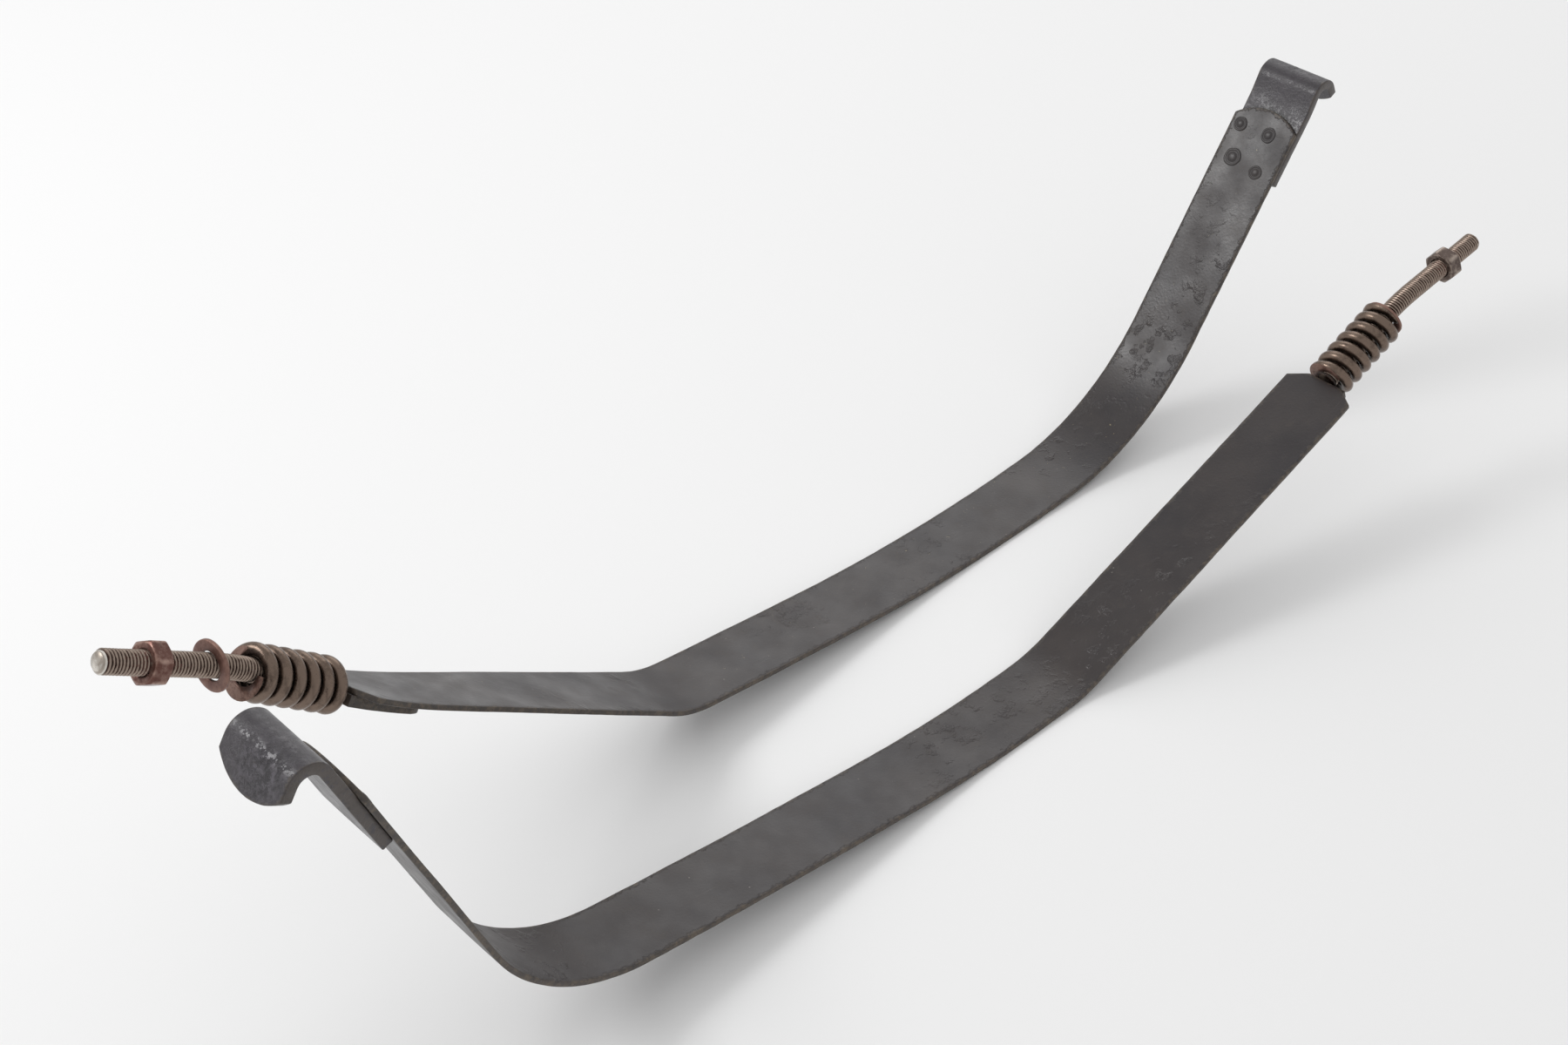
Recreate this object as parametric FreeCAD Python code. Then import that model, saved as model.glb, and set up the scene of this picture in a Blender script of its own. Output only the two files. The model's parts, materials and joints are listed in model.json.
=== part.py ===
"""A pair of spring-loaded tank hold-down straps, lying on the floor as they were taken off.

Each strap is a flat steel band bent to a shallow U. One end carries a hook plate, the other an
anchor plate with a threaded stud, a compression spring, a washer and a hexagon nut.

Row frame: X to the right, Y away from the front strap, Z up, millimetres, the floor at Z = 0 and
the origin under the middle of the pair.
"""

import math
import os
from collections import namedtuple

import FreeCAD
import Part

Vec = FreeCAD.Vector

# Band: flat steel strip, the same section all along.
BAND_WIDTH = 31.5
BAND_THICK = 2.0
ARC_END_RISE = 6.0        # how far the rounded hook end bulges past its corners
CLIP_LONG = 5.0           # clipped corners at the stud end, along the band
CLIP_WIDE = 8.0           # and across it

# Hook plate, on the outer face of the band.
PLATE_WIDTH = 30.0
PLATE_THICK = 4.0
PLATE_SHIFT = 0.75        # the plate sits this far to one side of the band
PLATE_LAP = 24.5          # overlap below the corners of the band's rounded end
PLATE_RISE = 18.5         # straight part above those corners
LEAN_LENGTH = 8.0         # part of that rise over which a bent hook leans
HOOK_RADIUS = 4.0         # inside radius of the curl
HOOK_TURN = 126.0         # degrees
HOOK_TIP = 10.5           # straight lip after the curl, measured at its middle
TIP_RISE = 6.0            # how far the rounded lip bulges past its corners

# Spot welds that hold the hook plate: (across the band, below the corners of its rounded end).
SPOT_RADIUS = 3.0
SPOT_HEIGHT = 0.6
SPOTS = ((10.8, 4.2), (-4.2, 4.2), (7.1, 18.6), (-6.4, 21.0))

# Anchor plate and stud, on the outer face at the other end.
ANCHOR_WIDTH = 18.0
ANCHOR_THICK = 4.0
ANCHOR_LENGTH = 36.0
ANCHOR_PROUD = 1.0        # how far it stands out past the band's end
STUD_DEPTH = 0.3          # the stud's axis below the middle of the band
STUD_RADIUS = 4.0         # M8 coarse thread, pitch 1.25
TIP_BEVEL = 1.2
WELD_RADIUS = 4.6         # bead around the root of the stud
WELD_LENGTH = 1.0

# Loose parts on the stud.
SPRING_OUTSIDE = 19.0
SPRING_WIRE = 4.8
SPRING_LENGTH = 37.2
SPRING_TURNS = 6.1
SPRING_TIP = 0.4          # height of the blunt tip left where an end is ground flat
SPRING_START = 2.1        # its near end, past the end of the band
SPRING_SAG = 0.65          # the spring hangs on the stud, so its axis lies lower
WASHER_OUTSIDE = 17.0
WASHER_HOLE = 9.6
WASHER_THICK = 1.3
WASHER_SAG = 0.15
NUT_ACROSS_FLATS = 13.0
NUT_THICK = 6.5
NUT_HOLE = 8.1
NUT_MOUTH = 9.0           # the hole opens to this at both faces
NUT_MOUTH_DEPTH = 0.5
NUT_BEVEL_ANGLE = 30.0
LOFT_GAP = 0.02           # between two lofted faces that lie on each other

# Lengths along the band that both straps share.
HOOK_LEG = 98.0
FLOOR_HOOK_SIDE = 130.0
FLOOR_STUD_SIDE = 84.0

# A strap's own bends (degrees and millimetres) and how it lies on the floor. The bottom of the U
# is two gentle arcs, bow_hook and bow_stud, that meet at the middle point (x, y).
Strap = namedtuple(
    "Strap",
    "name x y heading rock hook_bend hook_bend_radius bow_hook bow_stud stud_bend "
    "stud_bend_radius stud_leg end_run end_turn twist end_twist hook_lean stud_out stud_root "
    "stud_arc stud_turn spring_turn washer_at washer_tilt nut_at nut_spin",
)
FRONT = Strap(
    name="front", x=39.5, y=610.5, heading=43.1, rock=-6.6,
    hook_bend=59.6, hook_bend_radius=78.0, bow_hook=2.4, bow_stud=9.4,
    stud_bend=19.0, stud_bend_radius=49.0, stud_leg=164.0, end_run=40.0, end_turn=0.8,
    twist=0.0, end_twist=0.0, hook_lean=0.0,
    stud_out=102.5, stud_root=42.0, stud_arc=16.0, stud_turn=13.5, spring_turn=-22.0,
    washer_at=40.15, washer_tilt=0.0, nut_at=81.5, nut_spin=8.0,
)
REAR = Strap(
    name="rear", x=21.2, y=710.2, heading=-135.4, rock=6.7,
    hook_bend=50.8, hook_bend_radius=103.5, bow_hook=10.0, bow_stud=1.6,
    stud_bend=25.0, stud_bend_radius=47.6, stud_leg=156.0, end_run=40.0, end_turn=7.0,
    twist=-7.4, end_twist=-10.0, hook_lean=-10.0,
    stud_out=95.6, stud_root=40.0, stud_arc=16.0, stud_turn=6.0, spring_turn=183.0,
    washer_at=53.4, washer_tilt=20.0, nut_at=76.2, nut_spin=22.0,
)

# A place on the band: where it is, along the band, across it and towards the inside of the U.
Place = namedtuple("Place", "at along across inward")


def step(knot, length, turn):
    """The knot (x, z, heading) that lies one segment further along."""
    x, z, heading = knot
    if turn == 0.0:
        return x + length * math.cos(heading), z + length * math.sin(heading), heading
    radius = length / turn
    end = heading + turn
    return (
        x + radius * (math.sin(end) - math.sin(heading)),
        z - radius * (math.cos(end) - math.cos(heading)),
        end,
    )


def walk(knot, segments):
    """All knots along a chain of (length, turn) segments."""
    knots = [knot]
    for length, turn in segments:
        knots.append(step(knots[-1], length, turn))
    return knots


def beside(knot, off):
    """The point at a distance to the left of a knot, in the plane of the side view."""
    x, z, heading = knot
    return Vec(x - off * math.sin(heading), 0, z + off * math.cos(heading))


def offset_edge(knot, segment, off):
    """One edge of the side view, parallel to a segment."""
    length, turn = segment
    first = beside(knot, off)
    last = beside(step(knot, length, turn), off)
    if turn == 0.0:
        return Part.makeLine(first, last)
    middle = beside(step(knot, length / 2, turn / 2), off)
    return Part.Arc(first, middle, last).toShape()


def strip(knot, segments, low, high, width, shift=0.0):
    """A bent strip: the side view between two offsets, given its width across."""
    knots = walk(knot, segments)
    edges = [offset_edge(k, s, low) for k, s in zip(knots, segments)]
    edges.append(Part.makeLine(beside(knots[-1], low), beside(knots[-1], high)))
    edges += [offset_edge(k, s, high) for k, s in zip(knots, segments)]
    edges.append(Part.makeLine(beside(knots[0], low), beside(knots[0], high)))
    side = Part.Face(Part.Wire(Part.__sortEdges__(edges)))
    side.translate(Vec(0, shift - width / 2, 0))
    return side.extrude(Vec(0, width, 0))


def turned(place, angle):
    """The same place, turned about the direction along the band."""
    c, s = math.cos(angle), math.sin(angle)
    return Place(
        place.at,
        place.along,
        place.across * c + place.inward * s,
        place.inward * c - place.across * s,
    )


def place_at(knot, angle=0.0):
    """The place at a knot of the side view, with the band twisted by an angle."""
    x, z, heading = knot
    c, s = math.cos(heading), math.sin(heading)
    flat = Place(Vec(x, 0, z), Vec(c, 0, s), Vec(0, -1, 0), Vec(-s, 0, c))
    return turned(flat, angle)


def moved(place, along=0.0, across=0.0, inward=0.0):
    """The same directions at another point."""
    at = place.at + place.along * along + place.across * across + place.inward * inward
    return Place(at, place.along, place.across, place.inward)


def matrix(place):
    """Placement that carries X onto along, Y against across and Z onto inward."""
    a, b, c, o = place.along, place.across * -1, place.inward, place.at
    return FreeCAD.Placement(
        FreeCAD.Matrix(a.x, b.x, c.x, o.x, a.y, b.y, c.y, o.y, a.z, b.z, c.z, o.z, 0, 0, 0, 1)
    )


def reversed_place(place):
    """The same place, looking back along the band."""
    return Place(place.at, place.along * -1, place.across * -1, place.inward)


def carried(shape, place):
    """A shape built at the origin with X along the band, carried to a place."""
    copy = shape.copy()
    copy.Placement = matrix(place).multiply(copy.Placement)
    return copy


def prism(points, place):
    """A tall prism over a flat outline (along, across), for trimming a strip at a place."""
    face = Part.Face(Part.Wire(outline(points)))
    tool = face.extrude(Vec(0, 0, 30))
    tool.translate(Vec(0, 0, -15))
    return carried(tool, place)


def outline(points):
    """Edges of a closed outline; a point given as a pair of pairs is an arc through the first."""
    edges = []
    last = points[-1][-2:]
    for point in points:
        end = point[-2:]
        if len(point) == 4:
            via = Vec(point[0], point[1], 0)
            edges.append(Part.Arc(Vec(*last, 0), via, Vec(*end, 0)).toShape())
        else:
            edges.append(Part.makeLine(Vec(*last, 0), Vec(*end, 0)))
        last = end
    return edges


def round_end(place, width, rise):
    """Tool that rounds off a strip's end; the arc leaves the edges at the place."""
    half = width / 2
    far = rise + 12
    return prism(
        ((0, -half), (rise, 0, 0, half), (0, half + 2), (far, half + 2), (far, -half - 2),
         (0, -half - 2)),
        place,
    )


def clip_corner(place, side):
    """Tool that cuts one corner off the end of the band."""
    half = BAND_WIDTH / 2
    far = 10
    corners = (
        (-2 * CLIP_LONG, (half + CLIP_WIDE) * side),
        (CLIP_LONG, (half - 2 * CLIP_WIDE) * side),
        (far + CLIP_LONG, (half - 2 * CLIP_WIDE) * side),
        (far + CLIP_LONG, (half + CLIP_WIDE) * side),
    )
    return prism(corners, place)


def section(place, low, high, width):
    """Closed rectangle across a strip."""
    corners = [
        place.at + place.across * (width / 2 * side) + place.inward * off
        for side, off in ((-1, low), (1, low), (1, high), (-1, high))
    ]
    return Part.makePolygon(corners + corners[:1])


def twisted_strip(places, low, high, width):
    """A strip that twists as it goes, through a chain of places."""
    return Part.makeLoft([section(p, low, high, width) for p in places], True, False)


def start_knot(strap):
    """Knot at the tip of the band's rounded end, so that the middle point lies at the origin."""
    segments = hook_side(strap)
    heading = -sum(turn for _, turn in segments)
    x, z, _ = walk((0.0, 0.0, heading), segments)[-1]
    return -x, -z, heading


def hook_side(strap):
    """Segments of the band from the rounded end to the middle point."""
    bend = math.radians(strap.hook_bend)
    return [
        (HOOK_LEG + ARC_END_RISE, 0.0),
        (strap.hook_bend_radius * bend, bend),
        (FLOOR_HOOK_SIDE, math.radians(strap.bow_hook)),
    ]


def stud_side(strap):
    """Segments of the band from the middle point to the start of the stud leg."""
    bend = math.radians(strap.stud_bend)
    return [
        (FLOOR_STUD_SIDE, math.radians(strap.bow_stud)),
        (strap.stud_bend_radius * bend, bend),
    ]


def stud_leg(strap):
    """Segments of the stud leg: straight, then slightly bent over its last run."""
    return [
        (strap.stud_leg - strap.end_run, 0.0),
        (strap.end_run, math.radians(strap.end_turn)),
    ]


def leg_places(strap, first):
    """Places along a twisted stud leg, from the bend to its end."""
    knot = walk(start_knot(strap), hook_side(strap) + stud_side(strap))[-1]
    straight, bent = stud_leg(strap)
    half_way = math.radians(strap.twist)
    last = math.radians(strap.end_twist)
    places = [
        place_at(step(knot, straight[0] * k / 4, 0.0), half_way * k / 4) for k in range(4)
    ]
    corner = step(knot, *straight)
    for k in range(5):
        share = k / 4
        places.append(
            place_at(
                step(corner, bent[0] * share, bent[1] * share),
                half_way + (last - half_way) * share,
            )
        )
    return places[first:]


def end_place(strap):
    """Place at the stud end of the band."""
    return leg_places(strap, 0)[-1]


def band(strap):
    """The band: bent strip with a rounded hook end and clipped corners at the stud end."""
    half = BAND_THICK / 2
    plain = hook_side(strap) + stud_side(strap)
    if strap.twist == 0.0:
        plain = plain + stud_leg(strap)
    body = strip(start_knot(strap), plain, -half, half, BAND_WIDTH)
    if strap.twist != 0.0:
        body = body.fuse(twisted_strip(leg_places(strap, 0), -half, half, BAND_WIDTH))
    tip = place_at(start_knot(strap))
    tools = [round_end(moved(reversed_place(tip), -ARC_END_RISE), BAND_WIDTH, ARC_END_RISE)]
    tools += [clip_corner(end_place(strap), side) for side in (-1, 1)]
    return body.cut(tools)


def hook_corner(strap):
    """Place level with the corners of the band's rounded end, looking back along the band."""
    return reversed_place(moved(place_at(start_knot(strap)), ARC_END_RISE))


def hook_segments(strap):
    """Segments of the hook plate, from its lap on the band round to its lip."""
    straight = PLATE_RISE - LEAN_LENGTH - ARC_END_RISE - 1
    curl = math.radians(HOOK_TURN)
    middle = HOOK_RADIUS + PLATE_THICK + BAND_THICK / 2
    return [
        (PLATE_LAP + ARC_END_RISE + 1, 0.0),
        (LEAN_LENGTH, math.radians(strap.hook_lean)),
        (straight, 0.0),
        (middle * curl, curl),
        (HOOK_TIP, 0.0),
    ]


def hook_knots(strap):
    """Knots of the hook plate; the plate lies to the left of them."""
    x, z, heading = start_knot(strap)
    back = step((x, z, heading), ARC_END_RISE + PLATE_LAP, 0.0)
    return walk((back[0], back[1], heading + math.pi), hook_segments(strap))


def hook_plate(strap):
    """The hook: a thick plate on the outer face that curls outward and ends in a rounded lip."""
    low = BAND_THICK / 2
    high = low + PLATE_THICK
    knots = hook_knots(strap)
    plate = strip(knots[0], hook_segments(strap), low, high, PLATE_WIDTH, PLATE_SHIFT)
    lip = moved(place_at(knots[-1]), -TIP_RISE, -PLATE_SHIFT)
    foot = reversed_place(moved(place_at(knots[0]), 1.5, -PLATE_SHIFT))
    return plate.cut([round_end(lip, PLATE_WIDTH, TIP_RISE), round_end(foot, PLATE_WIDTH, 1.5)])


def spot_welds(strap):
    """The raised spots on the inner face of the band over the hook plate."""
    radius = (SPOT_RADIUS ** 2 + SPOT_HEIGHT ** 2) / (2 * SPOT_HEIGHT)
    ball = Part.makeSphere(radius, Vec(0, 0, SPOT_HEIGHT - radius))
    below = Part.makeBox(4 * radius, 4 * radius, 2 * radius, Vec(-2 * radius, -2 * radius, -2 * radius))
    cap = ball.cut(below)
    corner = hook_corner(strap)
    caps = [
        carried(cap, moved(corner, -down, -across, BAND_THICK / 2)) for across, down in SPOTS
    ]
    return Part.makeCompound(caps)


def anchor_plate(strap):
    """The plate under the stud end of the band that the stud grows from."""
    high = -BAND_THICK / 2
    low = high - ANCHOR_THICK
    end = end_place(strap)
    if strap.twist == 0.0:
        knot = walk(start_knot(strap), hook_side(strap) + stud_side(strap) + stud_leg(strap))[-1]
        turn = -math.radians(strap.end_turn) * ANCHOR_LENGTH / strap.end_run
        back = (knot[0], knot[1], knot[2] + math.pi)
        plate = strip(back, [(ANCHOR_LENGTH, turn)], -high, -low, ANCHOR_WIDTH)
    else:
        plate = twisted_strip(leg_places(strap, 4), low, high - LOFT_GAP, ANCHOR_WIDTH)
    proud = Part.makeBox(
        ANCHOR_PROUD, ANCHOR_WIDTH, ANCHOR_THICK - LOFT_GAP, Vec(0, -ANCHOR_WIDTH / 2, low)
    )
    plate = plate.fuse(carried(proud, end))
    foot = anchor_foot(strap)
    return plate.cut(round_end(foot, ANCHOR_WIDTH, ANCHOR_WIDTH / 2)).removeSplitter()


def anchor_foot(strap):
    """Place where the anchor plate's rounded inner end leaves its edges, looking back."""
    straight, bent = stud_leg(strap)
    knot = walk(start_knot(strap), hook_side(strap) + stud_side(strap))[-1]
    reach = 1 - (ANCHOR_LENGTH - ANCHOR_WIDTH / 2) / bent[0]
    twist = strap.twist + (strap.end_twist - strap.twist) * reach
    foot = step(step(knot, *straight), bent[0] * reach, bent[1] * reach)
    return reversed_place(place_at(foot, math.radians(twist)))


def root_place(strap):
    """Place on the stud's axis level with the end of the band."""
    return moved(end_place(strap), inward=-STUD_DEPTH)


def outer_place(strap):
    """Place on the straight outer part of the stud, as if it ran on back to the band's end."""
    root = root_place(strap)
    turn = -math.radians(strap.stud_turn)
    radius = strap.stud_arc / -turn
    c, s = math.cos(turn), math.sin(turn)
    along = root.along * c + root.inward * s
    inward = root.inward * c - root.along * s
    at = root.at + root.along * (strap.stud_root - radius * s) - root.inward * (radius * (1 - c))
    back = strap.stud_root + strap.stud_arc
    return Place(at - along * back, along, root.across, inward)


def stud(strap):
    """The stud: a round bar, straight at its root, slightly bent, then straight to its tip."""
    root = root_place(strap)
    outer = outer_place(strap)
    first = strap.stud_root
    last = strap.stud_out - strap.stud_root - strap.stud_arc
    axis = Vec(1, 0, 0)
    base = Part.makeCylinder(
        STUD_RADIUS, first - ANCHOR_PROUD, Vec(ANCHOR_PROUD, 0, 0), axis
    )
    radius = strap.stud_arc / math.radians(strap.stud_turn)
    disc = Part.Face(Part.Wire(Part.makeCircle(STUD_RADIUS, Vec(first, 0, 0), axis)))
    elbow = disc.revolve(Vec(first, 0, -radius), Vec(0, 1, 0), strap.stud_turn)
    shank = Part.makeCylinder(STUD_RADIUS, last - TIP_BEVEL, Vec(0, 0, 0), axis)
    tip = Part.makeCone(
        STUD_RADIUS, STUD_RADIUS - TIP_BEVEL, TIP_BEVEL, Vec(last - TIP_BEVEL, 0, 0), axis
    )
    outer_part = shank.fuse(tip)
    begin = moved(outer, strap.stud_root + strap.stud_arc)
    return carried(base.fuse(elbow), root).fuse(carried(outer_part, begin)).removeSplitter()


def root_weld(strap):
    """The bead where the stud meets the anchor plate."""
    axis = Vec(1, 0, 0)
    foot = Vec(ANCHOR_PROUD, 0, 0)
    bead = Part.makeCone(WELD_RADIUS, STUD_RADIUS + 0.1, WELD_LENGTH, foot, axis)
    hole = Part.makeCylinder(STUD_RADIUS, WELD_LENGTH, foot, axis)
    return carried(bead.cut(hole), root_place(strap))


def lowered(strap, place, distance):
    """A place moved down, square to the stud, by a distance in the row frame."""
    down = laid(strap).Rotation.inverted().multVec(Vec(0, 0, -1))
    flat = down - place.along * place.along.dot(down)
    return Place(
        place.at + flat.normalize() * distance, place.along, place.across, place.inward
    )


def spring(strap):
    """The compression spring: round wire, both ends ground flat."""
    pitch = SPRING_LENGTH / SPRING_TURNS
    mean = (SPRING_OUTSIDE - SPRING_WIRE) / 2
    over = SPRING_WIRE / 2 - SPRING_TIP
    helix = Part.makeHelix(pitch, SPRING_LENGTH + 2 * over, mean)
    ring = Part.Wire(Part.makeCircle(SPRING_WIRE / 2, Vec(mean, 0, 0), Vec(0, 1, 0)))
    coil = Part.Wire(helix).makePipeShell([ring], True, True)
    coil.translate(Vec(0, 0, -over))
    keep = Part.makeCylinder(SPRING_OUTSIDE, SPRING_LENGTH)
    body = coil.common(keep)
    body.rotate(Vec(0, 0, 0), Vec(0, 0, 1), strap.spring_turn)
    body.rotate(Vec(0, 0, 0), Vec(0, 1, 0), 90)
    place = lowered(strap, moved(root_place(strap), SPRING_START), SPRING_SAG)
    return carried(body, place)


def washer_place(strap):
    """Centre of the washer: on the root of the stud if it lies there, else on the outer part."""
    if strap.washer_at < strap.stud_root:
        place = moved(root_place(strap), strap.washer_at)
    else:
        place = moved(outer_place(strap), strap.washer_at)
    return lowered(strap, place, WASHER_SAG)


def washer(strap):
    """A plain washer, loose on the stud."""
    start = Vec(-WASHER_THICK / 2, 0, 0)
    disc = Part.makeCylinder(WASHER_OUTSIDE / 2, WASHER_THICK, start, Vec(1, 0, 0))
    hole = Part.makeCylinder(WASHER_HOLE / 2, WASHER_THICK, start, Vec(1, 0, 0))
    ring = disc.cut(hole)
    ring.rotate(Vec(0, 0, 0), Vec(0, 1, 0), strap.washer_tilt)
    return carried(ring, washer_place(strap))


def nut(strap):
    """A hexagon nut, bevelled on both faces."""
    axis = Vec(1, 0, 0)
    corner = NUT_ACROSS_FLATS / math.sqrt(3)
    start = -NUT_THICK / 2
    points = [
        Vec(start, corner * math.cos(k * math.pi / 3), corner * math.sin(k * math.pi / 3))
        for k in range(7)
    ]
    body = Part.Face(Part.makePolygon(points)).extrude(Vec(NUT_THICK, 0, 0))
    flat = NUT_ACROSS_FLATS / 2 * 0.96
    spread = NUT_THICK / math.tan(math.radians(NUT_BEVEL_ANGLE))
    cone = Part.makeCone(flat, flat + spread, NUT_THICK, Vec(start, 0, 0), axis)
    other = Part.makeCone(flat + spread, flat, NUT_THICK, Vec(start, 0, 0), axis)
    body = body.common(cone).common(other)
    hole = Part.makeCylinder(NUT_HOLE / 2, NUT_THICK, Vec(start, 0, 0), axis)
    mouth = Part.makeCone(
        NUT_MOUTH / 2, NUT_HOLE / 2, NUT_MOUTH_DEPTH, Vec(start, 0, 0), axis
    )
    back = Part.makeCone(
        NUT_MOUTH / 2, NUT_HOLE / 2, NUT_MOUTH_DEPTH, Vec(-start, 0, 0), axis * -1
    )
    body = body.cut([hole, mouth, back])
    body.rotate(Vec(0, 0, 0), axis, strap.nut_spin)
    return carried(body, moved(outer_place(strap), strap.nut_at))


def laid(strap):
    """Placement of a strap on the floor: rocked, turned to its heading and set on its bottom."""
    rock = FreeCAD.Rotation(Vec(0, -1, 0), strap.rock)
    heading = FreeCAD.Rotation(Vec(0, 0, 1), strap.heading)
    return FreeCAD.Placement(Vec(strap.x, strap.y, 0), heading.multiply(rock))


SUB_PARTS = (
    ("band", band),
    ("hook_plate", hook_plate),
    ("spot_welds", spot_welds),
    ("anchor_plate", anchor_plate),
    ("root_weld", root_weld),
    ("stud", stud),
    ("spring", spring),
    ("washer", washer),
    ("nut", nut),
)


def on_floor(strap):
    """The placement that also lifts a strap so that its band just touches the floor."""
    place = laid(strap)
    body = band(strap)
    body.Placement = place.multiply(body.Placement)
    place.Base = place.Base + Vec(0, 0, -body.optimalBoundingBox(False, False).ZMin)
    return place


def build():
    """All nodes in the row frame, centred on the origin, and the placement of each strap."""
    shapes = {}
    places = {strap.name: on_floor(strap) for strap in (FRONT, REAR)}
    for strap in (FRONT, REAR):
        for name, maker in SUB_PARTS:
            shape = maker(strap)
            shape.Placement = places[strap.name].multiply(shape.Placement)
            shapes[strap.name + "_" + name] = shape
    box = Part.makeCompound(list(shapes.values())).optimalBoundingBox(False, False)
    shift = Vec(-(box.XMin + box.XMax) / 2, -(box.YMin + box.YMax) / 2, 0)
    for shape in shapes.values():
        shape.Placement = FreeCAD.Placement(shift, FreeCAD.Rotation()).multiply(shape.Placement)
    for place in places.values():
        place.Base = place.Base + shift
    return shapes, places


def main():
    """Write one STEP file for each node."""
    os.makedirs("parts", exist_ok=True)
    for name, shape in build()[0].items():
        shape.exportStep("parts/" + name + ".step")


main()
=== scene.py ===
"""Looks of a pair of spring-loaded hold-down straps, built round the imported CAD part.

Two bent flat steel bands lie on a pale floor. Each has a curled hook plate at one end and, at the
other, a threaded stud with a compression spring, a washer and a hexagon nut. Everything is in
metres, in the frame of the CAD part: +Z up and the floor at Z = 0.
"""

import json
import logging
import math
from collections.abc import Callable
from dataclasses import dataclass, field
from enum import Enum

import bmesh
import bpy
from mathutils import Matrix, Vector, noise


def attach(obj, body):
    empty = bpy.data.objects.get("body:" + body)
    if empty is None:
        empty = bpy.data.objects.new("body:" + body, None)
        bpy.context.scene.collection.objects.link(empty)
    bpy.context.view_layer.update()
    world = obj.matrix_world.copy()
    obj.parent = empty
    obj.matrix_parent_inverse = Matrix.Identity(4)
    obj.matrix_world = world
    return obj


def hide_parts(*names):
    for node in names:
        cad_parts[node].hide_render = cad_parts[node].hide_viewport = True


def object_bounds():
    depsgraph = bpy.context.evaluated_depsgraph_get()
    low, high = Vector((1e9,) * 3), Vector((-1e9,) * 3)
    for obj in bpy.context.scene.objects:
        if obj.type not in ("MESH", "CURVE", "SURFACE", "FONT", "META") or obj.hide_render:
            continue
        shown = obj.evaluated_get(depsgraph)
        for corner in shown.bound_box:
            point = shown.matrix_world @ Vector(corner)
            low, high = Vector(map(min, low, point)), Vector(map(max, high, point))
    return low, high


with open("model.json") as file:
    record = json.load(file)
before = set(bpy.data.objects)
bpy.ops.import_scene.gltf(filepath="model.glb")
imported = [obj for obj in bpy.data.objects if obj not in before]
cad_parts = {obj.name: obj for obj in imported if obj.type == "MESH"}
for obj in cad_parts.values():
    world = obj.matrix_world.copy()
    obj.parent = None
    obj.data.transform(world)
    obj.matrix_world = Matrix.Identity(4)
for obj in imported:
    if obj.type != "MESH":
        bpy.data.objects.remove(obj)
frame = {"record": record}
CAD_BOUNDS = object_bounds()

LOG = logging.getLogger("straps")
MM = 0.001
PAINT_IOR = 1.52


class Lay(Enum):
    """Which of the two straps a piece belongs to."""

    FRONT = "front"
    REAR = "rear"


class Part(Enum):
    """The pieces of a strap, by the name that follows the strap's own in a CAD node."""

    BAND = "band"
    HOOK = "hook_plate"
    SPOTS = "spot_welds"
    ANCHOR = "anchor_plate"
    WELD = "root_weld"
    STUD = "stud"
    SPRING = "spring"
    WASHER = "washer"
    NUT = "nut"


FIXED = (Part.BAND, Part.HOOK, Part.SPOTS, Part.ANCHOR, Part.WELD, Part.STUD)


# ---------------------------------------------------------------- geometry helpers


@dataclass(frozen=True)
class Place:
    """A point on a strap with its own directions.

    Args:
        at: The point.
        along: Unit vector along the band, from the hook to the stud.
        across: Unit vector across the band.
        inward: Unit vector towards the inside of the U.
    """

    at: Vector
    along: Vector
    across: Vector
    inward: Vector

    def shifted(self, along: float = 0.0, across: float = 0.0, inward: float = 0.0) -> "Place":
        """The same directions at another point."""
        at = self.at + self.along * along + self.across * across + self.inward * inward
        return Place(at, self.along, self.across, self.inward)

    def reversed(self) -> "Place":
        """The same point, looking back along the band."""
        return Place(self.at, -self.along, -self.across, self.inward)

    def matrix(self) -> Matrix:
        """Matrix that carries X onto along, Y against across and Z onto inward."""
        return Matrix.Translation(self.at) @ self.rotation().to_4x4()

    def rotation(self) -> Matrix:
        """The turning part of the matrix."""
        return Matrix((self.along, -self.across, self.inward)).transposed()

    def turned(self, rotation: Matrix, offset: Vector) -> "Place":
        """Carries the place by a rotation and a shift.

        Args:
            rotation: The rotation about the origin.
            offset: The shift that follows it.

        Returns:
            The new place.
        """
        return Place(
            rotation @ self.at + offset,
            rotation @ self.along,
            rotation @ self.across,
            rotation @ self.inward,
        )


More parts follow.
